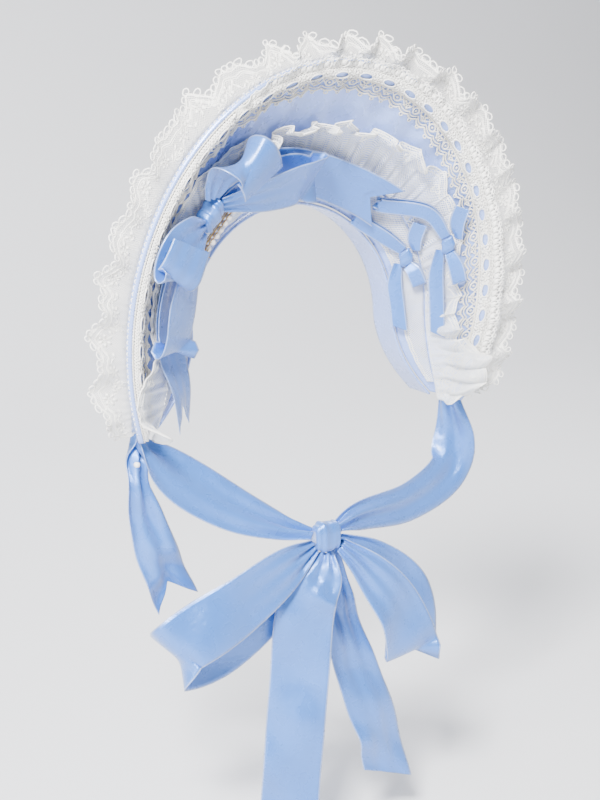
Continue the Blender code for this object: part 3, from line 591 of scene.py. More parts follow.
def add_lump(name, centre, axes, size, material, ridges, lean):
    """Knot of gathered ribbon: rounded box whose creases run round its first axis."""
    around, steps = 48, 60
    points, faces, corners = [], [], []
    for i in range(steps + 1):
        run = i / steps
        polar = pi * run
        for j in range(around):
            turn = 2 * pi * j / around
            x = squared(-cos(polar), 0.75)
            ring = 0.96 * sin(polar) ** 0.42 if 0 < i < steps else 0.0
            fold = sin(ridges * 2 * polar + lean * sin(turn))
            fold += 0.5 * sin(ridges * 3.7 * polar + 2 * lean * cos(turn) + 1)
            crease = 1 + 0.06 * (fold - 1.2) * sin(polar)
            y = ring * crease * squared(cos(turn), 0.6)
            z = ring * crease * squared(sin(turn), 0.6)
            local = Vector((x * size[0], y * size[1], z * size[2])) / 2
            points.append(centre + axes[0] * local.x + axes[1] * local.y + axes[2] * local.z)
    for i in range(steps):
        for j in range(around):
            e = (j + 1) % around
            quad = (i * around + j, i * around + e, (i + 1) * around + e, (i + 1) * around + j)
            faces.append(quad)
            low, high = i * size[0] / steps, (i + 1) * size[0] / steps
            left, right = j * size[1] * 3 / around, (j + 1) * size[1] * 3 / around
            corners += [(left, low), (right, low), (right, high), (left, high)]
    if axes[0].dot(axes[1].cross(axes[2])) > 0:
        faces = [tuple(reversed(face)) for face in faces]
        corners = [c for k in range(0, len(corners), 4) for c in reversed(corners[k:k + 4])]
    obj = new_object(name, points, faces, corners, material)
    weld = obj.modifiers.new("Poles", "WELD")
    weld.merge_threshold = 1e-6
    return obj


def ring(x, y, radius, count=10, squash=1.0):
    """Flat circle or oval as a list of places on the cloth."""
    return [(x + radius * cos(2 * pi * k / count), y + radius * squash * sin(2 * pi * k / count))
            for k in range(count)]


def petal(x, y, length, width, angle, count=10):
    """Flat leaf shape that starts at a place and points along an angle."""
    shape = []
    for k in range(count):
        turn = 2 * pi * k / count
        reach = length * (0.5 - 0.5 * cos(turn))
        side = -width / 2 * sin(turn) * (0.75 + 0.25 * (reach / length))
        shape.append((x + reach * cos(angle) - side * sin(angle), y + reach * sin(angle) + side * cos(angle)))
    return shape[::-1]


def sew(threads, cloth, shape, radius, closed=False):
    threads.cord([cloth.at(x, y) for x, y in shape], radius, closed)


def sew_row(threads, cloth, step, radius, height):
    """Cord along the whole cloth, in steps, at height(x) across it."""
    steps = int(cloth.length / step)
    places = [cloth.length * k / steps for k in range(steps + 1)]
    sew(threads, cloth, [(x, height(x)) for x in places], radius)


def fill(threads, cloth, shape, height):
    threads.pad([cloth.at(x, y) for x, y in shape], height)


def flower(threads, cloth, x, y, size, petals, turn):
    """Embroidered flower: filled petals round a small eyelet."""
    for k in range(petals):
        angle = turn + 2 * pi * k / petals
        start = 0.22 * size
        leaf = petal(x + start * cos(angle), y + start * sin(angle), size * 0.8, size * 0.55, angle)
        fill(threads, cloth, leaf, 0.5 * MM)
    sew(threads, cloth, ring(x, y, 0.24 * size, 8), 0.4 * MM, True)


def stitch_row(threads, cloth, y, pitch, radius):
    """Row of hand stitches along a cloth, each a short thread that dips at both ends."""
    for k in range(int(cloth.length / pitch)):
        x = (k + 0.5) * pitch
        path = []
        for share in (-0.34, -0.2, 0, 0.2, 0.34):
            point, normal = cloth.at(x + share * pitch, y)
            path.append((point + normal * radius * (1 - 6 * share * share), normal))
        threads.cord(path, radius)


def dress(obj, slot, *nodes):
    """Rides the one body and stands for the CAD nodes, whose parts it hides. The slot is not used."""
    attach(obj, "root")
    if nodes:
        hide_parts(*nodes)
    return obj


# ---------------------------------------------------------------- materials

def add_node(tree, kind, options=None, sockets=None):
    """New shader node. Options are its own settings, and sockets take numbers or other sockets."""
    node = tree.nodes.new(kind)
    for key, value in (options or {}).items():
        setattr(node, key, value)
    for key, value in (sockets or {}).items():
        if isinstance(value, bpy.types.NodeSocket):
            tree.links.new(value, node.inputs[key])
        else:
            node.inputs[key].default_value = value
    return node


def calculate(tree, operation, a, b=0.0):
    return add_node(tree, "ShaderNodeMath", {"operation": operation}, {0: a, 1: b}).outputs[0]


def start_material(name):
    material = bpy.data.materials.new(name)
    material.use_nodes = True
    tree = material.node_tree
    return material, tree, tree.nodes["Principled BSDF"]


def flat_places(tree):
    """Places along and across the flat cloth, in millimetres."""
    uv = add_node(tree, "ShaderNodeUVMap", {"uv_map": "cloth"})
    parts = add_node(tree, "ShaderNodeSeparateXYZ", sockets={0: uv.outputs["UV"]})
    x = calculate(tree, "MULTIPLY", parts.outputs["X"], 1000)
    y = calculate(tree, "MULTIPLY", parts.outputs["Y"], 1000)
    return uv.outputs["UV"], x, y


def blotches(tree, vector, size, detail=2.0):
    """Soft noise whose patches are about size metres across."""
    noise = add_node(tree, "ShaderNodeTexNoise",
                     sockets={"Vector": vector, "Scale": 1 / size, "Detail": detail})
    return noise.outputs["Fac"]


def blend_colour(tree, share, first, second):
    """Colour that goes from first to second as share does from 0.3 to 0.7."""
    spread_out = add_node(tree, "ShaderNodeMapRange", sockets={0: share, 1: 0.3, 2: 0.7})
    mixer = add_node(tree, "ShaderNodeMix", {"data_type": "RGBA"},
                     {0: spread_out.outputs[0], 6: (*first, 1), 7: (*second, 1)})
    return mixer.outputs[2]


def shade(colour, share):
    return tuple(min(c * share, 1.0) for c in colour)


def tune(shader, sockets):
    """Plain values for some of a shader's sockets."""
    for key, value in sockets.items():
        shader.inputs[key].default_value = value


def object_places(tree):
    return add_node(tree, "ShaderNodeTexCoord").outputs["Object"]


def ripples(tree, place, period):
    """Sine of a place, with its period in millimetres."""
    return calculate(tree, "SINE", calculate(tree, "MULTIPLY", place, 2 * pi / period))


def mottle(tree, shader, vector, size, colour, low, high):
    """Base colour in soft patches of a size, from a low share of the colour to a high one."""
    tone = blend_colour(tree, blotches(tree, vector, size), shade(colour, low), shade(colour, high))
    tree.links.new(tone, shader.inputs["Base Color"])


def vary_roughness(tree, shader, vector, size, low, high):
    rough = add_node(tree, "ShaderNodeMapRange", sockets={0: blotches(tree, vector, size), 3: low, 4: high})
    tree.links.new(rough.outputs[0], shader.inputs["Roughness"])


def add_bump(tree, shader, height, depth, strength):
    bump = add_node(tree, "ShaderNodeBump",
                    sockets={"Height": height, "Distance": depth, "Strength": strength})
    tree.links.new(bump.outputs["Normal"], shader.inputs["Normal"])


def satin_material(name, colour, selvage=None):
    """Polyester satin: long floats that shine across the ribbon, a firmer woven edge and soft creases. Its
    colour carries a painted sheen, paler where the cloth is seen edge-on, and a painted highlight along a
    ribbon's edges.
    """
    material, tree, shader = start_material(name)
    uv, x, y = flat_places(tree)
    patches = blotches(tree, uv, 0.03)
    # Painted sheen: the base colour is mixed towards a pale tint where the cloth is seen edge-on
    facing = add_node(tree, "ShaderNodeLayerWeight", sockets={"Blend": 0.35}).outputs["Facing"]
    tone = blend_colour(tree, patches, shade(colour, 0.94), shade(colour, 1.05))
    painted_sheen_colour = tuple(mix(c, 1.0, 0.45) for c in colour)
    sheen = add_node(tree, "ShaderNodeMix", {"data_type": "RGBA"}, {6: tone, 7: (*painted_sheen_colour, 1)})
    share = calculate(tree, "MULTIPLY", facing, 0.3)
    if selvage:
        # Woven edge, 1 mm wide on both sides of the ribbon, raised in the bump and with a painted highlight
        # that pales its colour further towards white
        edge = calculate(tree, "MINIMUM", y, calculate(tree, "SUBTRACT", selvage / MM, y))
        selvage_with_highlight = calculate(tree, "LESS_THAN", edge, 1.0)
        share = calculate(tree, "ADD", share, calculate(tree, "MULTIPLY", selvage_with_highlight, 0.45))
    tree.links.new(share, sheen.inputs[0])
    tree.links.new(sheen.outputs[2], shader.inputs["Base Color"])
    # Floats of the weave, 0.35 mm apart, over creases of 6 mm
    floats = calculate(tree, "MULTIPLY", ripples(tree, y, 0.35), 0.06)
    picks = calculate(tree, "MULTIPLY", ripples(tree, x, 0.6), 0.03)
    weave = calculate(tree, "ADD", floats, picks)
    creases = calculate(tree, "ADD", blotches(tree, uv, 0.006, 1.0),
                        calculate(tree, "MULTIPLY", blotches(tree, uv, 0.016), 2.0))
    height = calculate(tree, "ADD", weave, creases)
    if selvage:
        height = calculate(tree, "ADD", height, calculate(tree, "MULTIPLY", selvage_with_highlight, 0.5))
    add_bump(tree, shader, height, 0.4 * MM, 0.6)
    vary_roughness(tree, shader, uv, 0.012, 0.22, 0.34)
    tangent = add_node(tree, "ShaderNodeTangent", {"direction_type": "UV_MAP", "uv_map": "cloth"})
    tree.links.new(tangent.outputs[0], shader.inputs["Tangent"])
    tune(shader, {"Anisotropic": 0.6, "Metallic": 0.35, "Coat Weight": 0.4, "Coat Roughness": 0.24,
                  "Sheen Weight": 0.1, "Sheen Roughness": 0.4, "Specular IOR Level": 0.9})
    return material


def thread_material(name, colour, twist=0.9):
    """Mercerised cotton thread: twisted plies, uneven whiteness and a soft sheen."""
    material, tree, shader = start_material(name)
    x, y = flat_places(tree)[1:]
    place = object_places(tree)
    mottle(tree, shader, place, 0.012, colour, 0.86, 1.06)
    turns = calculate(tree, "ADD", calculate(tree, "MULTIPLY", x, 2 * pi / twist),
                      calculate(tree, "MULTIPLY", y, 2 * pi / 1000))
    fuzz = calculate(tree, "MULTIPLY", blotches(tree, place, 0.0006), 0.6)
    add_bump(tree, shader, calculate(tree, "ADD", calculate(tree, "SINE", turns), fuzz), 0.12 * MM, 0.6)
    vary_roughness(tree, shader, place, 0.004, 0.5, 0.72)
    tune(shader, {"Sheen Weight": 0.4})
    return material


def net_material(name, colour, mesh, thread, cloudy=0.0):
    """Fine net: two sets of slanting threads with gaps between. Cloudy adds closer-worked patches."""
    material, tree, shader = start_material(name)
    uv, x, y = flat_places(tree)
    pitch = mesh / MM
    slopes = []
    for sign in ("ADD", "SUBTRACT"):
        slope = calculate(tree, sign, x, calculate(tree, "MULTIPLY", y, 0.8))
        part = calculate(tree, "FRACT", calculate(tree, "DIVIDE", slope, pitch))
        slopes.append(calculate(tree, "ABSOLUTE", calculate(tree, "SUBTRACT", part, 0.5)))
    nearest = calculate(tree, "MINIMUM", *slopes)
    clouds = calculate(tree, "MULTIPLY", blotches(tree, uv, 0.007), cloudy)
    half = calculate(tree, "ADD", clouds, thread / mesh / 2)
    worked = calculate(tree, "LESS_THAN", nearest, half)
    tree.links.new(worked, shader.inputs["Alpha"])
    mottle(tree, shader, uv, 0.02, colour, 0.9, 1.04)
    add_bump(tree, shader, nearest, 0.15 * MM, 0.4)
    tune(shader, {"Roughness": 0.6, "Sheen Weight": 0.3})
    return material


def cover_material(name, colour, pitch, middle, size):
    """Close-worked lace with an oval opening in each repeat, where the ribbon under it shows."""
    material, tree, shader = start_material(name)
    uv, x, y = flat_places(tree)
    part = calculate(tree, "SUBTRACT", calculate(tree, "FRACT", calculate(tree, "DIVIDE", x, pitch / MM)), 0.5)
    side = calculate(tree, "DIVIDE", calculate(tree, "MULTIPLY", part, pitch), size[0])
    rise = calculate(tree, "DIVIDE", calculate(tree, "SUBTRACT", y, middle / MM), size[1] / MM)
    reach = calculate(tree, "ADD", calculate(tree, "MULTIPLY", side, side),
                      calculate(tree, "MULTIPLY", rise, rise))
    whole = calculate(tree, "GREATER_THAN", reach, 1.0)
    holes = ripples(tree, x, 2.4)
    bars = ripples(tree, y, 2.1)
    worked = calculate(tree, "LESS_THAN", calculate(tree, "MULTIPLY", holes, bars), 0.55)
    tree.links.new(calculate(tree, "MULTIPLY", whole, worked), shader.inputs["Alpha"])
    mottle(tree, shader, uv, 0.004, colour, 0.85, 1.04)
    add_bump(tree, shader, calculate(tree, "ADD", holes, bars), 0.2 * MM, 0.6)
    tune(shader, {"Roughness": 0.65, "Sheen Weight": 0.3})
    return material


def metal_material(name, colour):
    """Gold-plated brass with fine scratches and rubbed, paler places."""
    material, tree, shader = start_material(name)
    place = object_places(tree)
    mottle(tree, shader, place, 0.003, colour, 0.82, 1.08)
    tune(shader, {"Metallic": 1.0})
    vary_roughness(tree, shader, place, 0.0015, 0.2, 0.42)
    add_bump(tree, shader, blotches(tree, place, 0.0005), 0.05 * MM, 0.3)
    return material


def pearl_material(name, colour):
    """Glass pearl: nacre coat whose tint shifts towards its rim, painted into the colour as shade: greyer and
    more lavender where the pearl is seen edge-on.
    """
    material, tree, shader = start_material(name)
    place = object_places(tree)
    # Painted shade and tint: the colour goes greyer and more lavender where the pearl is seen edge-on
    rim = add_node(tree, "ShaderNodeLayerWeight", sockets={"Blend": 0.4}).outputs["Facing"]
    tone = blend_colour(tree, blotches(tree, place, 0.0025), shade(colour, 0.93), shade(colour, 1.03))
    tint = add_node(tree, "ShaderNodeMix", {"data_type": "RGBA"},
                    {0: rim, 6: tone, 7: (*to_linear(NACRE_RIM_PAINTED_SHADE), 1)})
    tree.links.new(tint.outputs[2], shader.inputs["Base Color"])
    tune(shader, {"Roughness": 0.22, "Coat Weight": 0.6, "Coat Roughness": 0.08})
    add_bump(tree, shader, blotches(tree, place, 0.001), 0.04 * MM, 0.2)
    return material


def material_named(name, make, *words):
    """The finish of that name, made on its first use."""
    return bpy.data.materials.get(name) or make(name, *words)


def brim_satin(finish):
    return material_named("brim satin", satin_material, tuple(finish.satin))


def ribbon_satin(finish, width):
    name = "satin ribbon %d mm" % round(width / MM)
    return material_named(name, satin_material, tuple(finish.ribbon), width)


def lace_net(finish):
    return material_named("ivory lace net", net_material, tuple(finish.lace), finish.lace_mesh, 0.16 * MM, 0.05)


def gilt_brass(finish):
    return material_named("gilt brass", metal_material, tuple(finish.gold))


def glass_pearl(finish):
    return material_named("glass pearl", pearl_material, tuple(finish.pearl))


def lace_thread(finish):
    return material_named("ivory embroidery thread", thread_material, tuple(finish.lace))


# ---------------------------------------------------------------- band and brim

class BONNET_OT_head_band(bpy.types.Operator):
    """Satin head band with a turned edge and a row of stitches on both sides"""
    bl_idname = "bonnet.head_band"
    bl_label = "Head Band"

    def execute(self, context):
        finish = context.scene.bonnet

        def place(u, v):
            t = spread(u)
            edge = 1 - smooth(abs(2 * v - 1) * 8 - 7)
            swell = 0.15 * MM * sin(40 * t) * (1 - (2 * v - 1) ** 2)
            off = BAND_WALL * (0.42 + 0.08 * edge) + swell
            return band_line(t) + band_out(t) * off + BACK * BAND_WIDTH * (v - 0.5)

        cloth = Cloth(220, 14, place, width=BAND_WIDTH)
        band = add_cloth("satin_head_band", cloth, 220, 14, BAND_WALL * 0.8, brim_satin(finish))
        threads = Threads()
        for y in (2.2 * MM, BAND_WIDTH - 2.2 * MM):
            stitch_row(threads, cloth, y, finish.stitch, 0.25 * MM)
        threads.points = [self.lifted(point) for point in threads.points]
        stitches = threads.build("band_stitches", lace_thread(finish))
        dress(stitches, "pale_blue_satin")
        dress(band, "pale_blue_satin", "head_band")
        return {"FINISHED"}

    def lifted(self, point):
        """A stitch's point, moved out to the band's outer face."""
        middle = Vector((0, point.y, -BAND_ARCH_HEIGHT))
        return point + (point - middle).normalized() * BAND_WALL * 0.4


class BONNET_OT_brim(bpy.types.Operator):
    """Satin brim over stiffening, with soft pleats and a satin binding round its edge"""
    bl_idname = "bonnet.brim"
    bl_label = "Brim"

    def execute(self, context):
        finish = context.scene.bonnet

        def place(u, v):
            t = spread(u)
            return brim_point(t, v * 0.995, soft_creases(t, v))

        cloth = Cloth(420, 36, place, gauge=1.0)
        brim = add_cloth("satin_brim", cloth, 420, 36, BRIM_WALL * 0.94, brim_satin(finish))
        binding = self.make_binding(finish)
        dress(binding, "pale_blue_satin")
        dress(brim, "pale_blue_satin", "brim")
        area = sum((b[j] - a[j]).length * (a[j + 1] - a[j]).length
                   for a, b in zip(cloth.grid, cloth.grid[1:]) for j in range(cloth.rows))
        return {"FINISHED"}

    def make_binding(self, finish):
        """Bias strip folded round the rim, slightly puffed between its stitches."""
        half = BRIM_WALL / 2

        def place(u, v):
            t = spread(u)
            side = 2 * v - 1
            over = abs(side)
            inset = finish.binding * smooth((over - 0.3) / 0.7) - 0.9 * MM * (1 - smooth(over / 0.35))
            pucker = 0.12 * MM * sin(620 * t)
            off = (half + 0.45 * MM + pucker) * sin(min(over / 0.32, 1) * pi / 2) * (1 if side > 0 else -1)
            return brim_point(t, 1 - inset / brim_width(t), off)

        cloth = Cloth(420, 20, place, width=2 * finish.binding)
        return add_cloth("rim_binding", cloth, 420, 20, 0.5 * MM, brim_satin(finish))


# ---------------------------------------------------------------- lace

def rounded_end(cloth, x, radius):
    """How much a sheet's free edge is cut back beside its two ends, so that its corners are round."""
    away = min(x, cloth.length - x)
    if away >= radius:
        return 0.0
    return radius - (radius ** 2 - (radius - away) ** 2) ** 0.5


def scallop_inset(finish, x):
    return finish.scallop_depth * (1 - abs(sin(pi * x / finish.scallop)))


class BONNET_OT_outer_ruffle(bpy.types.Operator):
    """Gathered ivory lace round the rim: embroidered net with a scalloped edge of round picots"""
    bl_idname = "bonnet.outer_ruffle"
    bl_label = "Outer Ruffle"

    def execute(self, context):
        finish = context.scene.bonnet
        cloth = Cloth(760, 14, lambda u, v: ruffle_place(spread(u, ENDS_SHORT), v), gauge=0.6)
        # Whole scallops fit the flat length
        finish.scallop = cloth.length / round(cloth.length / finish.scallop)
        ruffle = add_cloth("lace_ruffle", cloth, 900, 16, finish.net_wall, lace_net(finish),
                           high=lambda x: self.edge(finish, cloth, x))
        edge = self.make_edge(finish, cloth)
        flowers = self.make_flowers(finish, cloth)
        for piece in (edge, flowers):
            dress(piece, "ivory_lace")
        dress(ruffle, "ivory_lace", "outer_ruffle")
        max(cloth.widths)
        cloth.flat_area()
        return {"FINISHED"}

    def edge(self, finish, cloth, x):
        return cloth.width(x) - scallop_inset(finish, x) - rounded_end(cloth, x, 22 * MM)

    def make_edge(self, finish, cloth):
        """Picot loops along the scallops, the cord under them and the arched cord further in."""
        threads = Threads()
        radius = finish.edge_thread / 2
        for k in range(int(cloth.length / finish.picot)):
            x = (k + 0.5) * finish.picot
            y = self.edge(finish, cloth, x) + 0.3 * MM
            sew(threads, cloth, ring(x, y, finish.picot * 0.5 - 0.2 * MM, 9), radius, True)
        for inset, size in ((1.9 * MM, radius), (6.2 * MM, radius * 0.9), (7.6 * MM, radius * 0.6)):
            sew_row(threads, cloth, 1.3 * MM, size,
                    lambda x: self.edge(finish, cloth, x) - inset - scallop_inset(finish, x) * 0.3)
        return threads.build("lace_edge", lace_thread(finish))

    def make_flowers(self, finish, cloth):
        """Sprig in each scallop: a flower, leaves on curling stems and small dots towards the seam."""
        threads = Threads()
        thin = finish.fine_thread / 2
        count = round(cloth.length / finish.scallop)
        for k in range(count):
            x = (k + 0.5) * finish.scallop
            top = cloth.width(x) - rounded_end(cloth, x, 22 * MM) * 0.6
            flip = 1 if k % 2 else -1
            flower(threads, cloth, x, top - 12.8 * MM, 5.6 * MM, 6, 0.4 * k)
            for way in (-1, 1):
                stem = []
                for step in range(9):
                    share = step / 8
                    stem.append((x + way * (2 + 9 * share) * MM,
                                 top - (13.5 + 4.5 * sin(pi * share) * flip * way + 2 * share) * MM))
                sew(threads, cloth, stem, thin)
                for share, tilt in ((0.35, 0.9), (0.62, -0.9), (0.95, 0.5)):
                    px, py = stem[round(share * 8)]
                    angle = tilt * way + (0 if way > 0 else pi)
                    fill(threads, cloth, petal(px, py, 4.8 * MM, 2.7 * MM, angle), 0.5 * MM)
            small = top - 19.5 * MM
            flower(threads, cloth, x + finish.scallop / 2 * flip, small, 3.8 * MM, 5, k)
            for dot in range(3):
                dx = (scatter(3 * k + dot) - 0.5) * finish.scallop
                dy = (22.5 + 5 * scatter(7 * k + dot + 100)) * MM
                if dy < top - 3 * MM:
                    fill(threads, cloth, ring(x + dx, top - dy, 0.9 * MM, 6), 0.4 * MM)
        return threads.build("lace_sprigs", lace_thread(finish))


class BONNET_OT_rim_trim(bpy.types.Operator):
    """Guipure braid inside the rim, with a narrow ribbon threaded through its eyelets"""
    bl_idname = "bonnet.rim_trim"
    bl_label = "Rim Braid and Ribbon"

    def execute(self, context):
        finish = context.scene.bonnet
        cloth = Cloth(700, 8, lambda u, v: braid_place(spread(u), v), width=BRAID_WIDTH)
        pitch = cloth.length / BRAID_REPEATS
        # The braid's cords take the guipure colour, which carries painted shade
        guipure = material_named("guipure cord", thread_material, tuple(finish.guipure), 1.2)
        ground = add_cloth("braid_ground", cloth, 700, 5, finish.net_wall, lace_net(finish),
                           low=lambda x: 13 * MM, high=lambda x: BRAID_WIDTH + 0.8 * MM)
        cords = self.make_cords(finish, cloth, pitch, guipure)
        ribbon_middle = BRAID_EDGE + BRAID_WIDTH - INSERTION_EDGE - INSERTION_WIDTH / 2
        cover = self.make_cover(finish, ribbon_middle)
        eyelets = self.make_eyelets(finish, ribbon_middle)
        scallops = self.make_scallops(finish)
        for piece in (cords, cover, eyelets, scallops):
            dress(piece, "ivory_lace")
        dress(ground, "ivory_lace", "rim_braid")
        self.make_ribbon(finish)
        return {"FINISHED"}

    def make_cords(self, finish, cloth, pitch, material):
        """Open cord work: toothed edge, arches, rings and bars between two twisted cords."""
        threads = Threads()
        thick = finish.guipure_cord / 2
        tooth = pitch / 2
        for low, size in ((3.6 * MM, thick), (6.2 * MM, thick * 0.7)):
            sew_row(threads, cloth, 1.1 * MM, size, lambda x: (
                low - 3.2 * MM * abs(sin(pi * x / tooth)) ** 0.7 + 0.5 * MM * sin(9 * x / pitch)))
        for y, phase in ((12.8 * MM, 0), (12.8 * MM, pi), (25.6 * MM, 0)):
            sew_row(threads, cloth, 1.1 * MM, thick * 0.75,
                    lambda x: y + 0.55 * MM * sin(2 * pi * x / (3.2 * MM) + phase))
        for k in range(BRAID_REPEATS * 2):
            x = (k + 0.5) * tooth
            if k % 2:
                flower(threads, cloth, x, 8.7 * MM, 4.4 * MM, 5, k)
            else:
                sew(threads, cloth, ring(x, 8.6 * MM, 3.0 * MM, 12), thick * 0.9, True)
                fill(threads, cloth, ring(x, 8.6 * MM, 1.2 * MM, 6), 0.6 * MM)
            sew(threads, cloth, ring(x, -0.9 * MM, 1.5 * MM, 8), thick * 0.7, True)
            for way in (-1, 1):
                bar = [(x, 5.4 * MM), (x + way * tooth * 0.28, 7.5 * MM), (x + way * tooth * 0.5, 10.4 * MM),
                       (x + way * tooth * 0.35, 12.2 * MM)]
                sew(threads, cloth, bar, thick * 0.65)
        return threads.build("guipure_cords", material)

    def make_cover(self, finish, middle):
        """Close-worked strip over the ribbon, open at each eyelet."""
        low, high = 13.6 * MM, 24.8 * MM

        def place(u, v):
            lift = 0.5 * MM + 2.9 * MM * sin(pi * min(max(v, 0.0), 1.0)) ** 0.6
            return braid_place(spread(u, 0.004), mix(low, high, v) / BRAID_WIDTH, lift)

        cloth = Cloth(700, 8, place, width=high - low)
        material = material_named("close-worked lace", cover_material, tuple(finish.lace),
                                  cloth.length / BRAID_REPEATS, middle - low, (5.6 * MM, 2.9 * MM))
        return add_cloth("beading_cover", cloth, 700, 8, 0.3 * MM, material)

    def make_eyelets(self, finish, middle):
        """Corded ovals round the openings, petals between them and rings along the outer edge."""
        def place(u, v):
            return braid_place(spread(u, 0.004), v, 3.7 * MM * within(v, (0.6, 0.86), 0.12))

        cloth = Cloth(700, 8, place, width=BRAID_WIDTH)
        step = cloth.length / BRAID_REPEATS
        threads = Threads()
        for k in range(BRAID_REPEATS):
            x = (k + 0.5) * step
            sew(threads, cloth, ring(x, middle, 5.7 * MM, 20, 0.53), 0.6 * MM, True)
            far = (k + 1) * step
            if k + 1 < BRAID_REPEATS:
                flower(threads, cloth, far, middle, 4.4 * MM, 6, 0.5 * k)
                for way, rise in ((-1, 1), (-1, -1), (1, 1), (1, -1)):
                    angle = -0.6 * rise if way > 0 else pi + 0.6 * rise
                    leaf = petal(far + way * 3.2 * MM, middle + rise * 3.6 * MM, 3.4 * MM, 1.9 * MM, angle)
                    fill(threads, cloth, leaf, 0.45 * MM)
        count = int(cloth.length / (4.2 * MM))
        for k in range(count):
            x = (k + 0.5) * cloth.length / count
            sew(threads, cloth, ring(x, 26.8 * MM, 1.7 * MM, 8), 0.5 * MM, True)
        return threads.build("beading_eyelets", lace_thread(finish))

    def make_scallops(self, finish):
        """Worked scallops that run out over the binding, except on the wearer's right side."""
        def place(u, v):
            t = mix(-0.3, 0.985, u)
            past = mix(-2 * MM, 8 * MM * smooth((t + 0.3) / 0.12), v)
            lift = 1.6 * MM + 1.4 * MM * v * sin(118 * t + 2 * sin(23 * t))
            return braid_place(t, 1, lift) + brim_axes(t, 1)[1] * past

        cloth = Cloth(560, 6, place, width=10 * MM)
        threads = Threads()
        count = int(cloth.length / (4.8 * MM))
        for k in range(count):
            x = (k + 0.5) * cloth.length / count
            middle = 4.6 * MM + 0.5 * MM * sin(7 * k)
            fill(threads, cloth, ring(x, middle, 3.0 * MM, 10), 0.45 * MM)
            sew(threads, cloth, ring(x, middle + 0.5 * MM, 4.1 * MM, 16), 0.45 * MM, True)
            sew(threads, cloth, ring(x + 2.4 * MM, middle + 4.4 * MM, 1.5 * MM, 8), 0.4 * MM, True)
        return threads.build("rim_scallops", lace_thread(finish))

    def make_ribbon(self, finish):
        """Narrow ribbon that swells up in each eyelet."""
        def place(u, v):
            t = spread(u, ENDS_SHORT)
            inset = INSERTION_EDGE + (1 - v) * INSERTION_WIDTH
            swell = 0.4 * MM * cos(2 * pi * BRAID_REPEATS * (t + 1) / 2 + pi) * (1 - (2 * v - 1) ** 2)
            off = INNER_FACE + LACE_WALL + SHEET_CLEARANCE + RIBBON_WALL / 2 + swell
            return brim_point(t, 1 - inset / brim_width(t), off)

        cloth = Cloth(600, 6, place, width=INSERTION_WIDTH)
        ribbon = add_cloth("threaded_ribbon", cloth, 600, 6, 0.35 * MM, brim_satin(finish))
        dress(ribbon, "pale_blue_satin", "insertion_ribbon")


class BONNET_OT_net_frill(bpy.types.Operator):
    """Gathered white net inside the brim, edged with wavy double cords, and its heading"""
    bl_idname = "bonnet.net_frill"
    bl_label = "Net Frill"

    def execute(self, context):
        finish = context.scene.bonnet
        tulle = material_named("white net", net_material, tuple(finish.tulle), finish.tulle_mesh,
                               0.32 * MM, 0.1)
        cloth = Cloth(760, 14, lambda u, v: frill_place(spread(u), v), gauge=0.65)
        wave = cloth.length / round(cloth.length / (17 * MM))

        def edge(x):
            return cloth.width(x) - 1.6 * MM * (1 - abs(sin(pi * x / wave))) - rounded_end(cloth, x, 16 * MM)

        frill = add_cloth("net_frill", cloth, 760, 14, finish.net_wall, tulle, high=edge)
        threads = Threads()
        for inset, sway, size in ((0.0, 0, 0.6 * MM), (2.2 * MM, 0, 0.45 * MM), (6.5 * MM, 1.3 * MM, 0.4 * MM)):
            sew_row(threads, cloth, 1.4 * MM, size,
                    lambda x: edge(x) - inset + sway * sin(2 * pi * x / (wave * 1.7)))
        curls = int(cloth.length / (38 * MM))
        for k in range(curls):
            x = (k + 0.5) * cloth.length / curls
            if cloth.width(x) > 20 * MM:
                self.add_curl(threads, cloth, x, cloth.width(x) - 12 * MM)
        stitch_row(threads, cloth, 1.6 * MM, 4 * MM, 0.3 * MM)
        cords = threads.build("frill_cords", lace_thread(finish))
        dress(cords, "white_net")
        dress(frill, "white_net", "inner_frill")
        max(cloth.widths)
        cloth.flat_area()
        self.make_heading(finish, tulle)
        return {"FINISHED"}

    def add_curl(self, threads, cloth, x, y):
        """Three loops of fine cord, sewn down on the net."""
        shape = []
        for k in range(36):
            turn = 2 * pi * k / 36
            reach = 4.2 * MM * (0.35 + 0.65 * abs(cos(1.5 * turn)))
            shape.append((x + reach * cos(turn), y + reach * sin(turn)))
        sew(threads, cloth, shape, 0.42 * MM, True)

    def make_heading(self, finish, tulle):
        cloth = Cloth(420, 8, lambda u, v: heading_place(spread(u, 2 * ENDS_SHORT), v))
        heading = add_cloth("net_heading", cloth, 420, 8, finish.net_wall, tulle)
        threads = Threads()
        for inset in (0.3 * MM, 2.3 * MM):
            sew_row(threads, cloth, 1.6 * MM, 0.4 * MM,
                    lambda x: cloth.width(x) - inset - 0.9 * MM * abs(sin(pi * x / (11 * MM))))
        cords = threads.build("heading_cords", lace_thread(finish))
        dress(cords, "white_net")
        dress(heading, "white_net", "frill_heading")
        max(cloth.widths)
        cloth.flat_area()


# ---------------------------------------------------------------- ribbons and bows

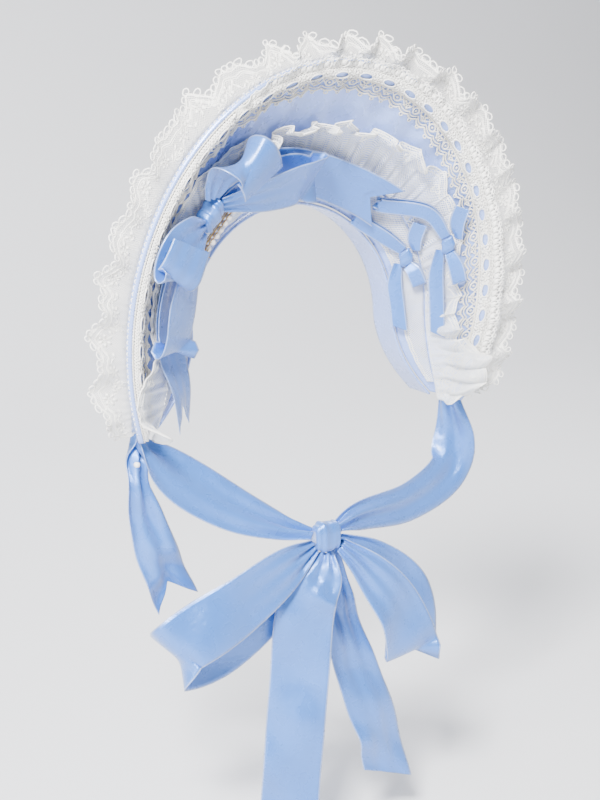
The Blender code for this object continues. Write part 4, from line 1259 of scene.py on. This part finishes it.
def ribbon_cloth(centres, acrosses, widths, full_width, steps, cut="square", cup=0.9 * MM, folds=3,
                 deep=1.5 * MM, ripple=0.0):
    """Ribbon along centres, cupped across, creased where it is drawn narrower and rippled along."""
    wide = [Vector((share, 0, 0)) for share in widths]
    reach = {"square": 0.0, "slant": 0.5, "notch": 0.45}[cut] * full_width

    def place(u, v):
        centre = curve_through(centres, u)
        along = (curve_through(centres, u + 0.01) - curve_through(centres, u - 0.01)).normalized()
        across = curve_through(acrosses, u)
        across = (across - along * across.dot(along)).normalized()
        share = curve_through(wide, u).x
        side = v - 0.5
        shift = reach * (side if cut == "slant" else 2 * abs(side) - 1) * smooth((u - 0.7) / 0.3)
        drawn = min(max(1 - share, 0.0) * 1.7, 1.0)
        wave = deep * drawn * cos(2 * pi * folds * v + 2.2 * u)
        bend = cup * (1 - 4 * side * side) * smooth(u * 4) * smooth(4 - u * 4)
        swell = ripple * smooth(u * 3) * (sin(17 * u + 3 * v) + 0.6 * sin(31 * u - 4 * v + 1))
        off = along.cross(across) * (wave + bend + swell)
        return centre + across * side * full_width * share + along * shift + off

    return Cloth(steps, 16, place, width=full_width)


def brim_ribbon(table, full_width, steps, cut="square", **words):
    """Ribbon in front of the brim. Columns: place along the rim, place up the brim, stand-off in
    ribbon walls, how the width runs (along the rim, towards the rim, off the face), width share."""
    centres, acrosses, widths = [], [], []
    for t, v, off, across_t, across_v, across_off, width in table:
        along, outward, inward = brim_axes(t, v)
        centres.append(brim_smooth(t, v) + inward * off * RIBBON_WALL)
        acrosses.append((along * across_t + outward * across_v + inward * across_off).normalized())
        widths.append(width)
    return ribbon_cloth(centres, acrosses, widths, full_width, steps, cut, **words)


def hung_ribbon(start, reach, table, steps, cut="square", **words):
    """Ribbon that hangs from start. Columns: to the wearer's left, forwards and down in shares of
    reach, the way the width runs (x, y, z), width share."""
    centres = [start + Vector((x, -front, -down)) * reach for x, front, down, *_ in table]
    acrosses = [Vector(row[3:6]).normalized() for row in table]
    widths = [row[6] for row in table]
    return ribbon_cloth(centres, acrosses, widths, TIE_RIBBON_WIDTH, steps, cut, ripple=1.8 * MM, **words)


def add_ribbon(finish, node, cloth, width, held):
    """Satin ribbon in the place of a CAD node."""
    columns = len(cloth.marks) - 1
    ribbon = add_cloth("satin_" + node, cloth, columns, cloth.rows, 0.45 * MM, ribbon_satin(finish, width))
    dress(ribbon, "pale_blue_satin", node)
    return ribbon


class BONNET_OT_wide_bow(bpy.types.Operator):
    """Loose bow of wide satin ribbon above the wearer's right temple: six folds, loops and tails"""
    bl_idname = "bonnet.wide_bow"
    bl_label = "Wide Bow"

    def execute(self, context):
        finish = context.scene.bonnet
        t, v = BOW_PLACE
        along, outward, inward = brim_axes(t, v)
        off = INNER_FACE + LACE_WALL + CLEARANCE + BOW_KNOT_SIZE[2] / 2
        slim = [length * share for length, share in zip(BOW_KNOT_SIZE, (1, 0.84, 0.96))]
        knot = add_lump("satin_bow_knot", brim_smooth(t, v) + inward * off, (along, outward, inward),
                        slim, ribbon_satin(finish, BOW_RIBBON_WIDTH), 4, 0.6)
        dress(knot, "pale_blue_satin", "bow_knot")
        half = rim_share(BOW_KNOT_SIZE[0] / 2 + KNOT_CLEARANCE, t, v)
        left = t + half
        right = t - half * 1.1
        top = v + (BOW_KNOT_SIZE[1] / 2 + CLEARANCE) / brim_width(t)
        wide = BOW_RIBBON_WIDTH
        ribbons = {
            "bow_tail_upper": (((left, v, 9, 0, 1, 0, 0.34), (-0.26, 0.42, 8.5, 0, 1, 0, 0.8),
                                (-0.12, 0.31, 8.5, 0, 1, 0, 1), (0.02, 0.24, 10, 0, 1, 0, 1),
                                (0.16, 0.22, 13, 0, 1, 0, 1), (0.28, 0.25, 17, -0.1, 1, 0, 1),
                                (0.36, 0.28, 18, -0.2, 1, 0, 1)), "notch"),
            "bow_loop_upper": (((left, v, 11.3, 0, 1, 0, 0.34), (-0.28, 0.40, 13, 0, 1, 0, 0.75),
                                (-0.12, 0.30, 14.5, 0, 1, 0, 1), (-0.04, 0.27, 17, 0, 1, 0, 1),
                                (0.002, 0.29, 23, 0, 1, 0.1, 1), (-0.05, 0.33, 31, 0, 1, 0.1, 1),
                                (-0.12, 0.34, 34, 0, 1, 0, 1), (-0.26, 0.38, 30, 0, 1, 0, 0.8),
                                (left, v, 15.5, 0, 1, 0, 0.36)), "square"),
            "bow_fold_upper": (((t + 0.02, top, 13.5, 1, 0, 0.1, 0.42), (-0.365, 0.63, 15, 1, 0, 0.3, 0.7),
                                (-0.335, 0.70, 18, 1, 0, 0.35, 1), (-0.312, 0.745, 23, 1, 0.1, 0.2, 1),
                                (-0.298, 0.745, 29, 1, 0.1, 0, 1), (-0.29, 0.70, 33, 1, 0.1, -0.1, 1),
                                (-0.283, 0.63, 35.5, 1, 0.05, -0.1, 1),
                                (-0.277, 0.555, 36, 1, 0.05, -0.1, 1)), "square"),
            "bow_tail_lower": (((right, v, 7.5, 0, 1, 0, 0.34), (-0.58, 0.42, 6.5, 0, 1, 0, 0.8),
                                (-0.72, 0.40, 7, 0, 1, 0, 0.9), (-0.81, 0.36, 11, 0, 1, 0, 0.9),
                                (-0.88, 0.30, 19, 0, 1, 0.2, 0.9), (-0.96, 0.22, 26, 0, 1, 0.3, 0.9)), "notch"),
            "bow_loop_lower": (((right, v, 10, 0, 1, 0, 0.34), (-0.56, 0.44, 10, 0, 1, 0, 0.75),
                                (-0.68, 0.44, 11, 0, 1, 0, 0.95), (-0.76, 0.46, 14, 0, 1, 0, 1),
                                (-0.79, 0.50, 19, 0, 1, 0.1, 1), (-0.76, 0.52, 22.5, 0, 1, 0.1, 1),
                                (-0.68, 0.50, 22.5, 0, 1, 0, 1), (-0.56, 0.46, 19, 0, 1, 0, 0.8),
                                (right, v, 13.5, 0, 1, 0, 0.36)), "square"),
            "bow_fold_lower": (((right, v + 0.04, 17, 0, 1, -0.1, 0.36), (-0.51, 0.64, 22, 0, 1, -0.3, 0.75),
                                (-0.56, 0.76, 21, 0, 1, -0.5, 0.9), (-0.61, 0.80, 20.5, 0, 1, -0.5, 0.9),
                                (-0.635, 0.80, 23, 0, 1, -0.5, 0.9), (-0.61, 0.80, 26.5, 0, 1, -0.5, 0.9),
                                (-0.55, 0.78, 26.5, 0, 1, -0.5, 0.85)), "square"),
        }
        for node, (table, cut) in ribbons.items():
            cloth = brim_ribbon(table, wide, 150, cut)
            held = "folded" if cut == "square" else "hung"
            add_ribbon(finish, node, cloth, wide, held)
        return {"FINISHED"}


class BONNET_OT_narrow_bows(bpy.types.Operator):
    """Two bows of narrow satin ribbon on the wearer's left side of the brim"""
    bl_idname = "bonnet.narrow_bows"
    bl_label = "Narrow Bows"

    def execute(self, context):
        self.make_bow(context.scene.bonnet, 0, 0.15)
        self.make_bow(context.scene.bonnet, 1, 0.33)
        return {"FINISHED"}

    def make_bow(self, finish, number, drop):
        t, v = NARROW_BOW_PLACES[number]
        share = (v * brim_width(t) - frill_seam(t)) / FRILL_WIDTH
        seat = INNER_FACE + LACE_WALL + frill_lift(t, share) + SHEET_CLEARANCE
        off = seat + NARROW_KNOT_SIZE[2] / 2
        along, outward, inward = brim_axes(t, v)
        name = "narrow_bow_%d" % (number + 1)
        knot = add_lump("satin_" + name + "_knot", brim_smooth(t, v) + inward * off, (along, outward, inward),
                        NARROW_KNOT_SIZE, ribbon_satin(finish, NARROW_WIDTH), 2, 0.4)
        dress(knot, "pale_blue_satin", name + "_knot")
        h = off / RIBBON_WALL
        half_t = rim_share(NARROW_KNOT_SIZE[0] / 2 + KNOT_CLEARANCE, t, v)
        half_v = (NARROW_KNOT_SIZE[1] / 2 + 3.6 * KNOT_CLEARANCE) / brim_width(t)
        ribbons = {
            "_loop_right": (((t - half_t, v, h - 1.5, 0, 1, 0, 0.7),
                             (t - 0.12, v - 0.08, h - 1.5, 0, 1, 0, 1),
                             (t - 0.25, v - drop, h - 2, 0, 1, 0, 1),
                             (t - 0.265, v - drop, h - 0.5, 0, 1, 0, 1),
                             (t - 0.25, v - drop, h + 1, 0, 1, 0, 1),
                             (t - 0.12, v - 0.08, h + 3, 0, 1, 0, 1),
                             (t - half_t, v, h + 1.5, 0, 1, 0, 0.7)), "square"),
            "_loop_left": (((t + half_t, v, h - 1, 0, 1, 0, 0.7), (t + 0.06, v + 0.04, h - 0.5, 0, 1, 0, 1),
                            (t + 0.10, v + 0.06, h, 0, 1, 0, 1), (t + 0.11, v + 0.065, h + 2.5, 0, 1, 0, 1),
                            (t + 0.10, v + 0.06, h + 5, 0, 1, 0, 1), (t + 0.06, v + 0.04, h + 5, 0, 1, 0, 1),
                            (t + half_t, v, h + 1.8, 0, 1, 0, 0.7)), "square"),
            "_end_up": (((t, v + half_v, h - 0.6, 1, 0, 0, 0.6), (t - 0.04, v + 0.12, h, 1, 0, 0, 1),
                         (t - 0.07, v + 0.20, h + 1, 1, 0, 0, 1)), "square"),
            "_end_down": (((t + half_t * 0.2, v - half_v * 0.84, h - 1.8, 1, 0.2, 0, 0.6),
                           (t + 0.07, v - half_v - 0.05, h + 1, 0.8, 1, 0, 1),
                           (t + 0.15, v - half_v - 0.06, h + 2, 0.4, 1, 0, 1),
                           (t + 0.23, v - half_v - 0.06, h + 2, 0.2, 1, 0, 1)), "slant"),
        }
        for end, (table, cut) in ribbons.items():
            cloth = brim_ribbon(table, NARROW_WIDTH, 90, cut, cup=0.2 * MM, folds=1, deep=0.5 * MM)
            held = "folded" if "loop" in end else "hung"
            add_ribbon(finish, name + end, cloth, NARROW_WIDTH, held)


def tie_anchor(side):
    """Where a chin tie is sewn, on the outer face at the end of the brim."""
    inward = brim_axes(side * 0.985, 0.5)[2]
    off = BRIM_WALL / 2 + SHEET_CLEARANCE + RIBBON_WALL / 2
    return brim_smooth(side * 0.985, 0.5) - inward * off


def chin_knot_place():
    return Vector((0, -CHIN_FORWARD, -CHIN_DROP))


def streamer_table():
    """The loose ribbon at the wearer's right, from its seam behind the brim to its cut end."""
    return (
        (0, 0, -0.08, 0.6, 0.8, 0, 0.34),
        (-0.01, 0, 0.06, 0.6, 0.7, 0, 0.34),
        (-0.03, 0.03, 0.18, 1, 0.3, 0.1, 0.36),
        (-0.02, 0.07, 0.36, 1, 0.1, 0.2, 0.5),
        (0.04, 0.08, 0.6, 1, 0, 0.3, 0.68),
        (0.12, 0.07, 0.82, 1, 0, 0.3, 0.75),
        (0.2, 0.06, 1.0, 1, 0, 0.3, 0.75))


def streamer_start():
    return tie_anchor(-1) - brim_axes(-0.985, 0.5)[2] * (RIBBON_WALL + 2 * CLEARANCE)


class BONNET_OT_chin_ties(bpy.types.Operator):
    """Wide satin ties from both ends of the brim to a bow under the chin"""
    bl_idname = "bonnet.chin_ties"
    bl_label = "Chin Ties and Bow"

    def execute(self, context):
        finish = context.scene.bonnet
        knot = chin_knot_place()
        half = CHIN_KNOT_SIZE[0] / 2 + CLEARANCE
        lump = add_lump("satin_chin_knot", knot, (Vector((1, 0, 0)), BACK, UP), CHIN_KNOT_SIZE,
                        ribbon_satin(finish, TIE_RIBBON_WIDTH), 3, 0.8)
        dress(lump, "pale_blue_satin", "chin_knot")
        self.add_tie(finish, "chin_tie_right", -1, (
            (0, 0, 0, -0.6, 0.8, 0, 0.34), (0, 0.6, 0, -0.6, 0.8, 0, 0.4), (0.12, 1.0, 0, -0.6, 0.5, 0.6, 0.75),
            (0.3, 1.2, 0, -0.5, 0.3, 0.9, 0.85), (0.55, 1.1, 0, -0.4, 0.3, 0.9, 0.75),
            (0.8, 0.6, 0, -0.3, 0.5, 0.8, 0.5), (1, 0, 0, 0, 0.9, 0.4, 0.25)), TIE_SAG)
        self.add_tie(finish, "chin_tie_left", 1, (
            (0, 0, 0, -0.6, 0.8, 0, 0.34), (0, 0.25, 0.15, -0.6, 0.8, 0, 0.45),
            (0.04, 0.75, 0.7, -0.6, 0.5, 0.5, 0.75), (0.16, 1.05, 1, -0.5, 0.2, 0.9, 0.8),
            (0.45, 0.85, 0.6, -0.2, 0.1, 1, 0.7), (0.8, 0.25, 0.1, 0, 0.3, 0.9, 0.5),
            (1, 0, 0, 0, 0.9, 0.4, 0.25)), SLACK_SAG)
        below = knot - UP * (CHIN_KNOT_SIZE[2] / 2 + CLEARANCE)
        side = Vector((half, 0, 0))
        right = knot - side - UP * CHIN_KNOT_SIZE[2] * 0.2
        left = knot + side - UP * CHIN_KNOT_SIZE[2] * 0.18
        ribbons = {
            "chin_tail_right": (below, LONG_TAIL, (
                (-0.01, 0.01, -0.003, 1, -0.3, 0, 0.3), (-0.05, 0.04, 0.07, 1, -0.3, 0, 0.8),
                (-0.10, 0.03, 0.18, 1, -0.5, 0.1, 1), (-0.12, 0.02, 0.45, 1, -0.5, 0, 1),
                (-0.15, 0.03, 0.72, 1, -0.5, 0, 1), (-0.165, 0.02, 1.0, 1, -0.5, 0, 1)), "slant", "hung"),
            "chin_tail_left": (below, SHORT_TAIL, (
                (0.015, -0.01, -0.005, 1, 0.1, 0, 0.35), (0.06, -0.05, 0.12, 1, 0.1, 0.1, 0.5),
                (0.10, -0.06, 0.3, 1, 0, 0.2, 0.7), (0.17, -0.03, 0.55, 1, 0.1, 0.3, 0.85),
                (0.25, 0, 0.8, 1, 0.1, 0.25, 0.9), (0.29, 0.02, 1.0, 1, 0.1, 0.1, 0.9)), "slant", "hung"),
            "chin_loop_right": (right, RIGHT_LOOP_REACH, (
                (0.0, 0.015, 0.0, 0.4, 0, -0.9, 0.25), (-0.22, 0.06, 0.10, 0.4, 0, -0.9, 0.8),
                (-0.55, 0.07, 0.28, 0.5, -0.1, -0.8, 1), (-0.85, 0.05, 0.42, 0.5, -0.3, -0.8, 1),
                (-0.90, -0.02, 0.51, 0.5, -0.3, -0.8, 1), (-0.82, -0.09, 0.59, 0.5, -0.2, -0.8, 1),
                (-0.53, -0.11, 0.57, 0.5, 0, -0.8, 1), (-0.21, -0.08, 0.31, 0.4, 0, -0.9, 0.8),
                (0.0, -0.015, 0.03, 0.4, 0, -0.9, 0.25)), "square", "folded"),
            "chin_loop_left": (left, LEFT_LOOP_REACH, (
                (0.0, 0.0, 0.0, 0.5, 0, 0.8, 0.25), (0.25, 0.03, 0.17, 0.6, 0, 0.8, 0.7),
                (0.49, 0.04, 0.42, 0.8, 0, 0.5, 0.95), (0.55, 0.05, 0.70, 1, 0, 0.1, 1),
                (0.52, 0.11, 0.84, 1, 0, 0, 1), (0.45, 0.18, 0.70, 1, 0, 0.1, 1),
                (0.34, 0.19, 0.45, 0.8, 0.1, 0.5, 0.9), (0.16, 0.12, 0.20, 0.6, 0.1, 0.8, 0.6),
                (0.0, 0.03, 0.03, 0.5, 0, 0.8, 0.25)), "square", "folded"),
        }
        for node, (start, reach, table, cut, held) in ribbons.items():
            cloth = hung_ribbon(start, reach, table, 150, cut, deep=2.2 * MM)
            add_ribbon(finish, node, cloth, TIE_RIBBON_WIDTH, held)
        return {"FINISHED"}

    def add_tie(self, finish, node, side, table, sag):
        """Ribbon from the brim's end to the chin knot. Columns: share of the way, share of the sag,
        share of the slack outwards, the way the width runs (x outwards, y, z), width share."""
        start = tie_anchor(side)
        end = chin_knot_place() + Vector((side * (CHIN_KNOT_SIZE[0] / 2 + CLEARANCE), 0, 0)) + TIE_RISE
        centres = [mix(start, end, share) - UP * sag * down + Vector((side * SLACK_SPREAD * out, 0, 0))
                   for share, down, out, *_ in table]
        acrosses = [Vector((side * x, y, z)).normalized() for _, _, _, x, y, z, _ in table]
        widths = [row[6] for row in table]
        cloth = ribbon_cloth(centres, acrosses, widths, TIE_RIBBON_WIDTH, 160, "square", deep=2.9 * MM, folds=2)
        add_ribbon(finish, node, cloth, TIE_RIBBON_WIDTH, "hung")


class BONNET_OT_streamer(bpy.types.Operator):
    """Loose ribbon at the wearer's right end of the brim, with the pearl stud that pins it"""
    bl_idname = "bonnet.streamer"
    bl_label = "Streamer and Stud"

    def execute(self, context):
        finish = context.scene.bonnet
        start = streamer_start()
        cloth = hung_ribbon(start, STREAMER_LENGTH, streamer_table(), 120, "notch", deep=3 * MM, folds=2)
        add_ribbon(finish, "streamer", cloth, TIE_RIBBON_WIDTH, "hung")
        x, front, down = streamer_table()[2][:3]
        place = start + Vector((x, -front, -down)) * STREAMER_LENGTH
        place -= BACK * (RIBBON_WALL / 2 + CLEARANCE + STUD_RADIUS)
        pearl = new_ball("stud_pearl", STUD_RADIUS, glass_pearl(finish))
        cap = new_ring("stud_cap", STUD_RADIUS * 0.8, 0.35 * MM, gilt_brass(finish))
        cap.location.z = -STUD_RADIUS * 0.6
        bake_place(cap)
        turn = Matrix.Rotation(pi / 2, 4, "X")
        for piece in (pearl, cap):
            piece.matrix_world = Matrix.Translation(place) @ turn
            bake_place(piece)
            dress(piece, "gold_and_pearl")
        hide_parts("tie_stud")
        return {"FINISHED"}


# ---------------------------------------------------------------- brooch

def deselect():
    bpy.ops.object.select_all(action="DESELECT")


def bake_place(obj):
    """Apply an object's place and turn to its mesh."""
    deselect()
    obj.select_set(True)
    bpy.context.view_layer.objects.active = obj
    bpy.ops.object.transform_apply(location=True, rotation=True, scale=True)


def new_piece(kind, name, material, **settings):
    """Ready-made mesh of a kind, named, smoothed and given a finish."""
    deselect()
    getattr(bpy.ops.mesh, "primitive_" + kind + "_add")(**settings)
    obj = bpy.context.active_object
    obj.name = name
    obj.data.name = name
    obj.data.materials.append(material)
    bpy.ops.object.shade_smooth_by_angle(angle=radians(35))
    return obj


def new_ball(name, radius, material):
    return new_piece("uv_sphere", name, material, segments=28, ring_count=16, radius=radius)


def new_ring(name, radius, thickness, material):
    return new_piece("torus", name, material, major_radius=radius, minor_radius=thickness,
                     major_segments=24, minor_segments=8)


def join(pieces, name):
    deselect()
    for piece in pieces:
        piece.select_set(True)
    bpy.context.view_layer.objects.active = pieces[0]
    bpy.ops.object.join()
    pieces[0].name = name
    return pieces[0]


def copies(obj, places):
    """The object and its copies, one at each place."""
    pieces = [obj]
    for place in places[1:]:
        twin = obj.copy()
        twin.data = obj.data.copy()
        bpy.context.collection.objects.link(twin)
        twin.location = place
        pieces.append(twin)
    obj.location = places[0]
    return pieces


class BONNET_OT_brooch(bpy.types.Operator):
    """Gilt bar brooch with a row of pearls in beaded cups, a star and a pin"""
    bl_idname = "bonnet.brooch"
    bl_label = "Brooch"

    def execute(self, context):
        finish = context.scene.bonnet
        gold = gilt_brass(finish)
        nacre = glass_pearl(finish)
        places = [Vector((((k + 0.5) / PEARL_COUNT - 0.5) * BROOCH_LENGTH, 0, PEARL_RADIUS + 0.5 * MM))
                  for k in range(PEARL_COUNT)]
        pearls = join(copies(new_ball("brooch_pearls", PEARL_RADIUS * 1.06, nacre), places), "brooch_pearls")
        cups = copies(self.make_cup(gold), places)
        turn, side = self.seat()
        parts = [self.make_bar(gold), self.make_star(gold, side), self.make_pin(gold)]
        metal = join(parts + cups, "brooch_metal")
        for piece in (pearls, metal):
            bake_place(piece)
            piece.matrix_world = turn
            bake_place(piece)
            dress(piece, "gold_and_pearl")
        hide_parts("brooch")
        return {"FINISHED"}

    def seat(self):
        """Where the bar's middle sits on the wide bow's knot, with its pearls inwards, and which of
        its sides faces away from the brim."""
        t, v = BOW_PLACE
        along, outward, inward = brim_axes(t, v)
        knot_off = INNER_FACE + LACE_WALL + CLEARANCE + BOW_KNOT_SIZE[2] / 2
        depth = BROOCH_BAR[1]
        drop = BOW_KNOT_SIZE[1] / 2 + BROOCH_DROP + depth / 2
        centre = brim_smooth(t, v) + inward * knot_off - outward * drop + inward * BROOCH_STAND
        roll = BROOCH_ROLL + BROOCH_TURNED
        away = inward * sin(roll) - outward * cos(roll)
        away = (away - along * away.dot(along)).normalized()
        across = away.cross(along)
        turn = Matrix((along, across, away)).transposed().to_4x4()
        turn.translation = centre
        return turn, (1 if across.dot(inward) > 0 else -1)

    def make_bar(self, gold):
        """Two thin rails with a crosspiece at each end."""
        rails = []
        for way in (-1, 1):
            rail = new_piece("cylinder", "brooch_rail", gold, vertices=12, radius=0.5 * MM, depth=BROOCH_LENGTH)
            rail.rotation_euler = (0, pi / 2, 0)
            rail.location = (0, way * (BROOCH_BAR[0] / 2 - 0.5 * MM), 0)
            bake_place(rail)
            rails.append(rail)
            end = new_piece("cube", "brooch_end", gold, size=1)
            end.scale = (1.2 * MM, BROOCH_BAR[0], BROOCH_BAR[1] * 0.7)
            end.location = (way * (BROOCH_LENGTH / 2 - 0.6 * MM), 0, 0)
            bake_place(end)
            rounding = end.modifiers.new("Rounding", "BEVEL")
            rounding.width = 0.35 * MM
            rounding.segments = 3
            bpy.ops.object.modifier_apply(modifier="Rounding")
            rails.append(end)
        return join(rails, "brooch_bar")

    def make_cup(self, gold):
        """Setting of one pearl: a flared cup with a beaded collar."""
        cup = new_piece("cone", "brooch_cup", gold, vertices=20, radius1=1.1 * MM, radius2=2.2 * MM,
                        depth=1.8 * MM, end_fill_type="NGON", location=(0, 0, -PEARL_RADIUS * 0.7))
        collar = new_ring("brooch_collar", 2.3 * MM, 0.45 * MM, gold)
        collar.location.z = -PEARL_RADIUS * 0.3
        beads = []
        for k in range(6):
            bead = new_ball("brooch_bead", 0.6 * MM, gold)
            bead.location = (2.3 * MM * cos(k * pi / 3), 2.3 * MM * sin(k * pi / 3), -PEARL_RADIUS * 0.2)
            beads.append(bead)
        cup = join([cup, collar] + beads, "brooch_cup")
        bake_place(cup)
        return cup

    def make_star(self, gold, side):
        """Eight-armed star beside the row of pearls, near the bar's lower end."""
        arms = []
        for k in range(8):
            radius, length, first = (1.1 * MM, 6 * MM, 0) if k < 4 else (0.8 * MM, 3.6 * MM, 45)
            arm = new_piece("cone", "brooch_arm", gold, vertices=8, radius1=radius, radius2=0, depth=length)
            arm.location = (0, 0, length / 2)
            bake_place(arm)
            arm.rotation_euler = (0, radians(first + 90 * (k % 4)), 0)
            bake_place(arm)
            arms.append(arm)
        arms.append(new_ball("brooch_star_bead", 1.4 * MM, gold))
        star = join(arms, "brooch_star")
        star.location = (-BROOCH_LENGTH * 0.44, side * 3.4 * MM, 4 * MM)
        bake_place(star)
        return star

    def make_pin(self, gold):
        """Pin behind the bar that runs out past its lower end."""
        pin = new_piece("cylinder", "brooch_pin", gold, vertices=12, radius=0.45 * MM,
                        depth=BROOCH_LENGTH * 1.15)
        pin.rotation_euler = (0, pi / 2, 0)
        pin.location = (-BROOCH_LENGTH * 0.1, 0, -1.3 * MM)
        bake_place(pin)
        return pin


# ---------------------------------------------------------------- stage

def add_light(name, place, size, power, colour, target):
    light = bpy.data.lights.new(name, "AREA")
    light.size = size
    light.energy = power
    light.color = colour
    obj = bpy.data.objects.new(name, light)
    obj.visible_camera = False
    bpy.context.collection.objects.link(obj)
    obj.location = place
    aim = Vector(target) - Vector(place)
    obj.rotation_euler = aim.to_track_quat("-Z", "Y").to_euler()


class BONNET_OT_stage(bpy.types.Operator):
    """Pale floor that sweeps up behind, soft studio light and the photograph's camera"""
    bl_idname = "bonnet.stage"
    bl_label = "Stage"

    def execute(self, context):
        finish = context.scene.bonnet
        self.make_floor(finish)
        for light in LIGHTS:
            add_light(*light)
        world = bpy.data.worlds.new("studio")
        world.use_nodes = True
        background = world.node_tree.nodes["Background"]
        tune(background, {"Color": (*to_linear(WORLD_COLOUR), 1), "Strength": WORLD_STRENGTH})
        context.scene.world = world
        lens = bpy.data.cameras.new("photo_camera")
        lens.lens = CAMERA_LENS
        lens.sensor_width = 36
        lens.clip_end = 50
        camera = bpy.data.objects.new("photo_camera", lens)
        context.collection.objects.link(camera)
        camera.location = CAMERA_PLACE
        camera.rotation_euler = CAMERA_TURN
        context.scene.camera = camera
        return {"FINISHED"}

    def make_floor(self, finish):
        """Paper sweep: flat under the bonnet and curved up behind it."""
        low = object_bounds()[0].z - FLOOR_GAP
        points, faces, corners = [], [], []
        profile = [(-6.0, 0.0), (-2.0, 0.0), (1.2, 0.0)]
        profile += [(1.2 + 1.6 * sin(pi / 2 * k / 16), 1.6 * (1 - cos(pi / 2 * k / 16))) for k in range(1, 17)]
        profile += [(2.8, 5.0)]
        sides = (-6.0, -2.0, 2.0, 6.0)
        for y, z in profile:
            points += [(x, y, low + z) for x in sides]
        for i in range(len(profile) - 1):
            for j in range(len(sides) - 1):
                a = i * len(sides) + j
                quad = (a, a + 1, a + len(sides) + 1, a + len(sides))
                faces.append(quad)
                corners += [(points[k][0], points[k][1]) for k in quad]
        material, tree, shader = start_material("backdrop paper")
        place = object_places(tree)
        mottle(tree, shader, place, 0.5, tuple(finish.floor), 0.98, 1.01)
        add_bump(tree, shader, blotches(tree, place, 0.002), 0.1 * MM, 0.2)
        tune(shader, {"Roughness": 0.9})
        new_object("backdrop", points, faces, corners, material)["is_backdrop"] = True


class BONNET_PT_panel(bpy.types.Panel):
    """Builds the bonnet piece by piece"""
    bl_idname = "BONNET_PT_panel"
    bl_label = "Half Bonnet"
    bl_space_type = "VIEW_3D"
    bl_region_type = "UI"
    bl_category = "Bonnet"

    def draw(self, context):
        for key in BonnetFinish.__annotations__:
            self.layout.prop(context.scene.bonnet, key)
        for operator in OPERATORS:
            self.layout.operator(operator.bl_idname)


OPERATORS = (BONNET_OT_head_band, BONNET_OT_brim, BONNET_OT_outer_ruffle, BONNET_OT_rim_trim,
             BONNET_OT_net_frill, BONNET_OT_wide_bow, BONNET_OT_brooch, BONNET_OT_narrow_bows,
             BONNET_OT_chin_ties, BONNET_OT_streamer, BONNET_OT_stage)


def register():
    for item in (BonnetFinish, *OPERATORS, BONNET_PT_panel):
        bpy.utils.register_class(item)
    bpy.types.Scene.bonnet = PointerProperty(type=BonnetFinish)


def unregister():
    del bpy.types.Scene.bonnet
    for item in reversed((BonnetFinish, *OPERATORS, BONNET_PT_panel)):
        bpy.utils.unregister_class(item)


def main():
    register()
    bpy.ops.bonnet.head_band()
    bpy.ops.bonnet.brim()
    bpy.ops.bonnet.outer_ruffle()
    bpy.ops.bonnet.rim_trim()
    bpy.ops.bonnet.net_frill()
    bpy.ops.bonnet.wide_bow()
    bpy.ops.bonnet.brooch()
    bpy.ops.bonnet.narrow_bows()
    bpy.ops.bonnet.chin_ties()
    bpy.ops.bonnet.streamer()
    bpy.ops.bonnet.stage()


if __name__ == "__main__":
    main()
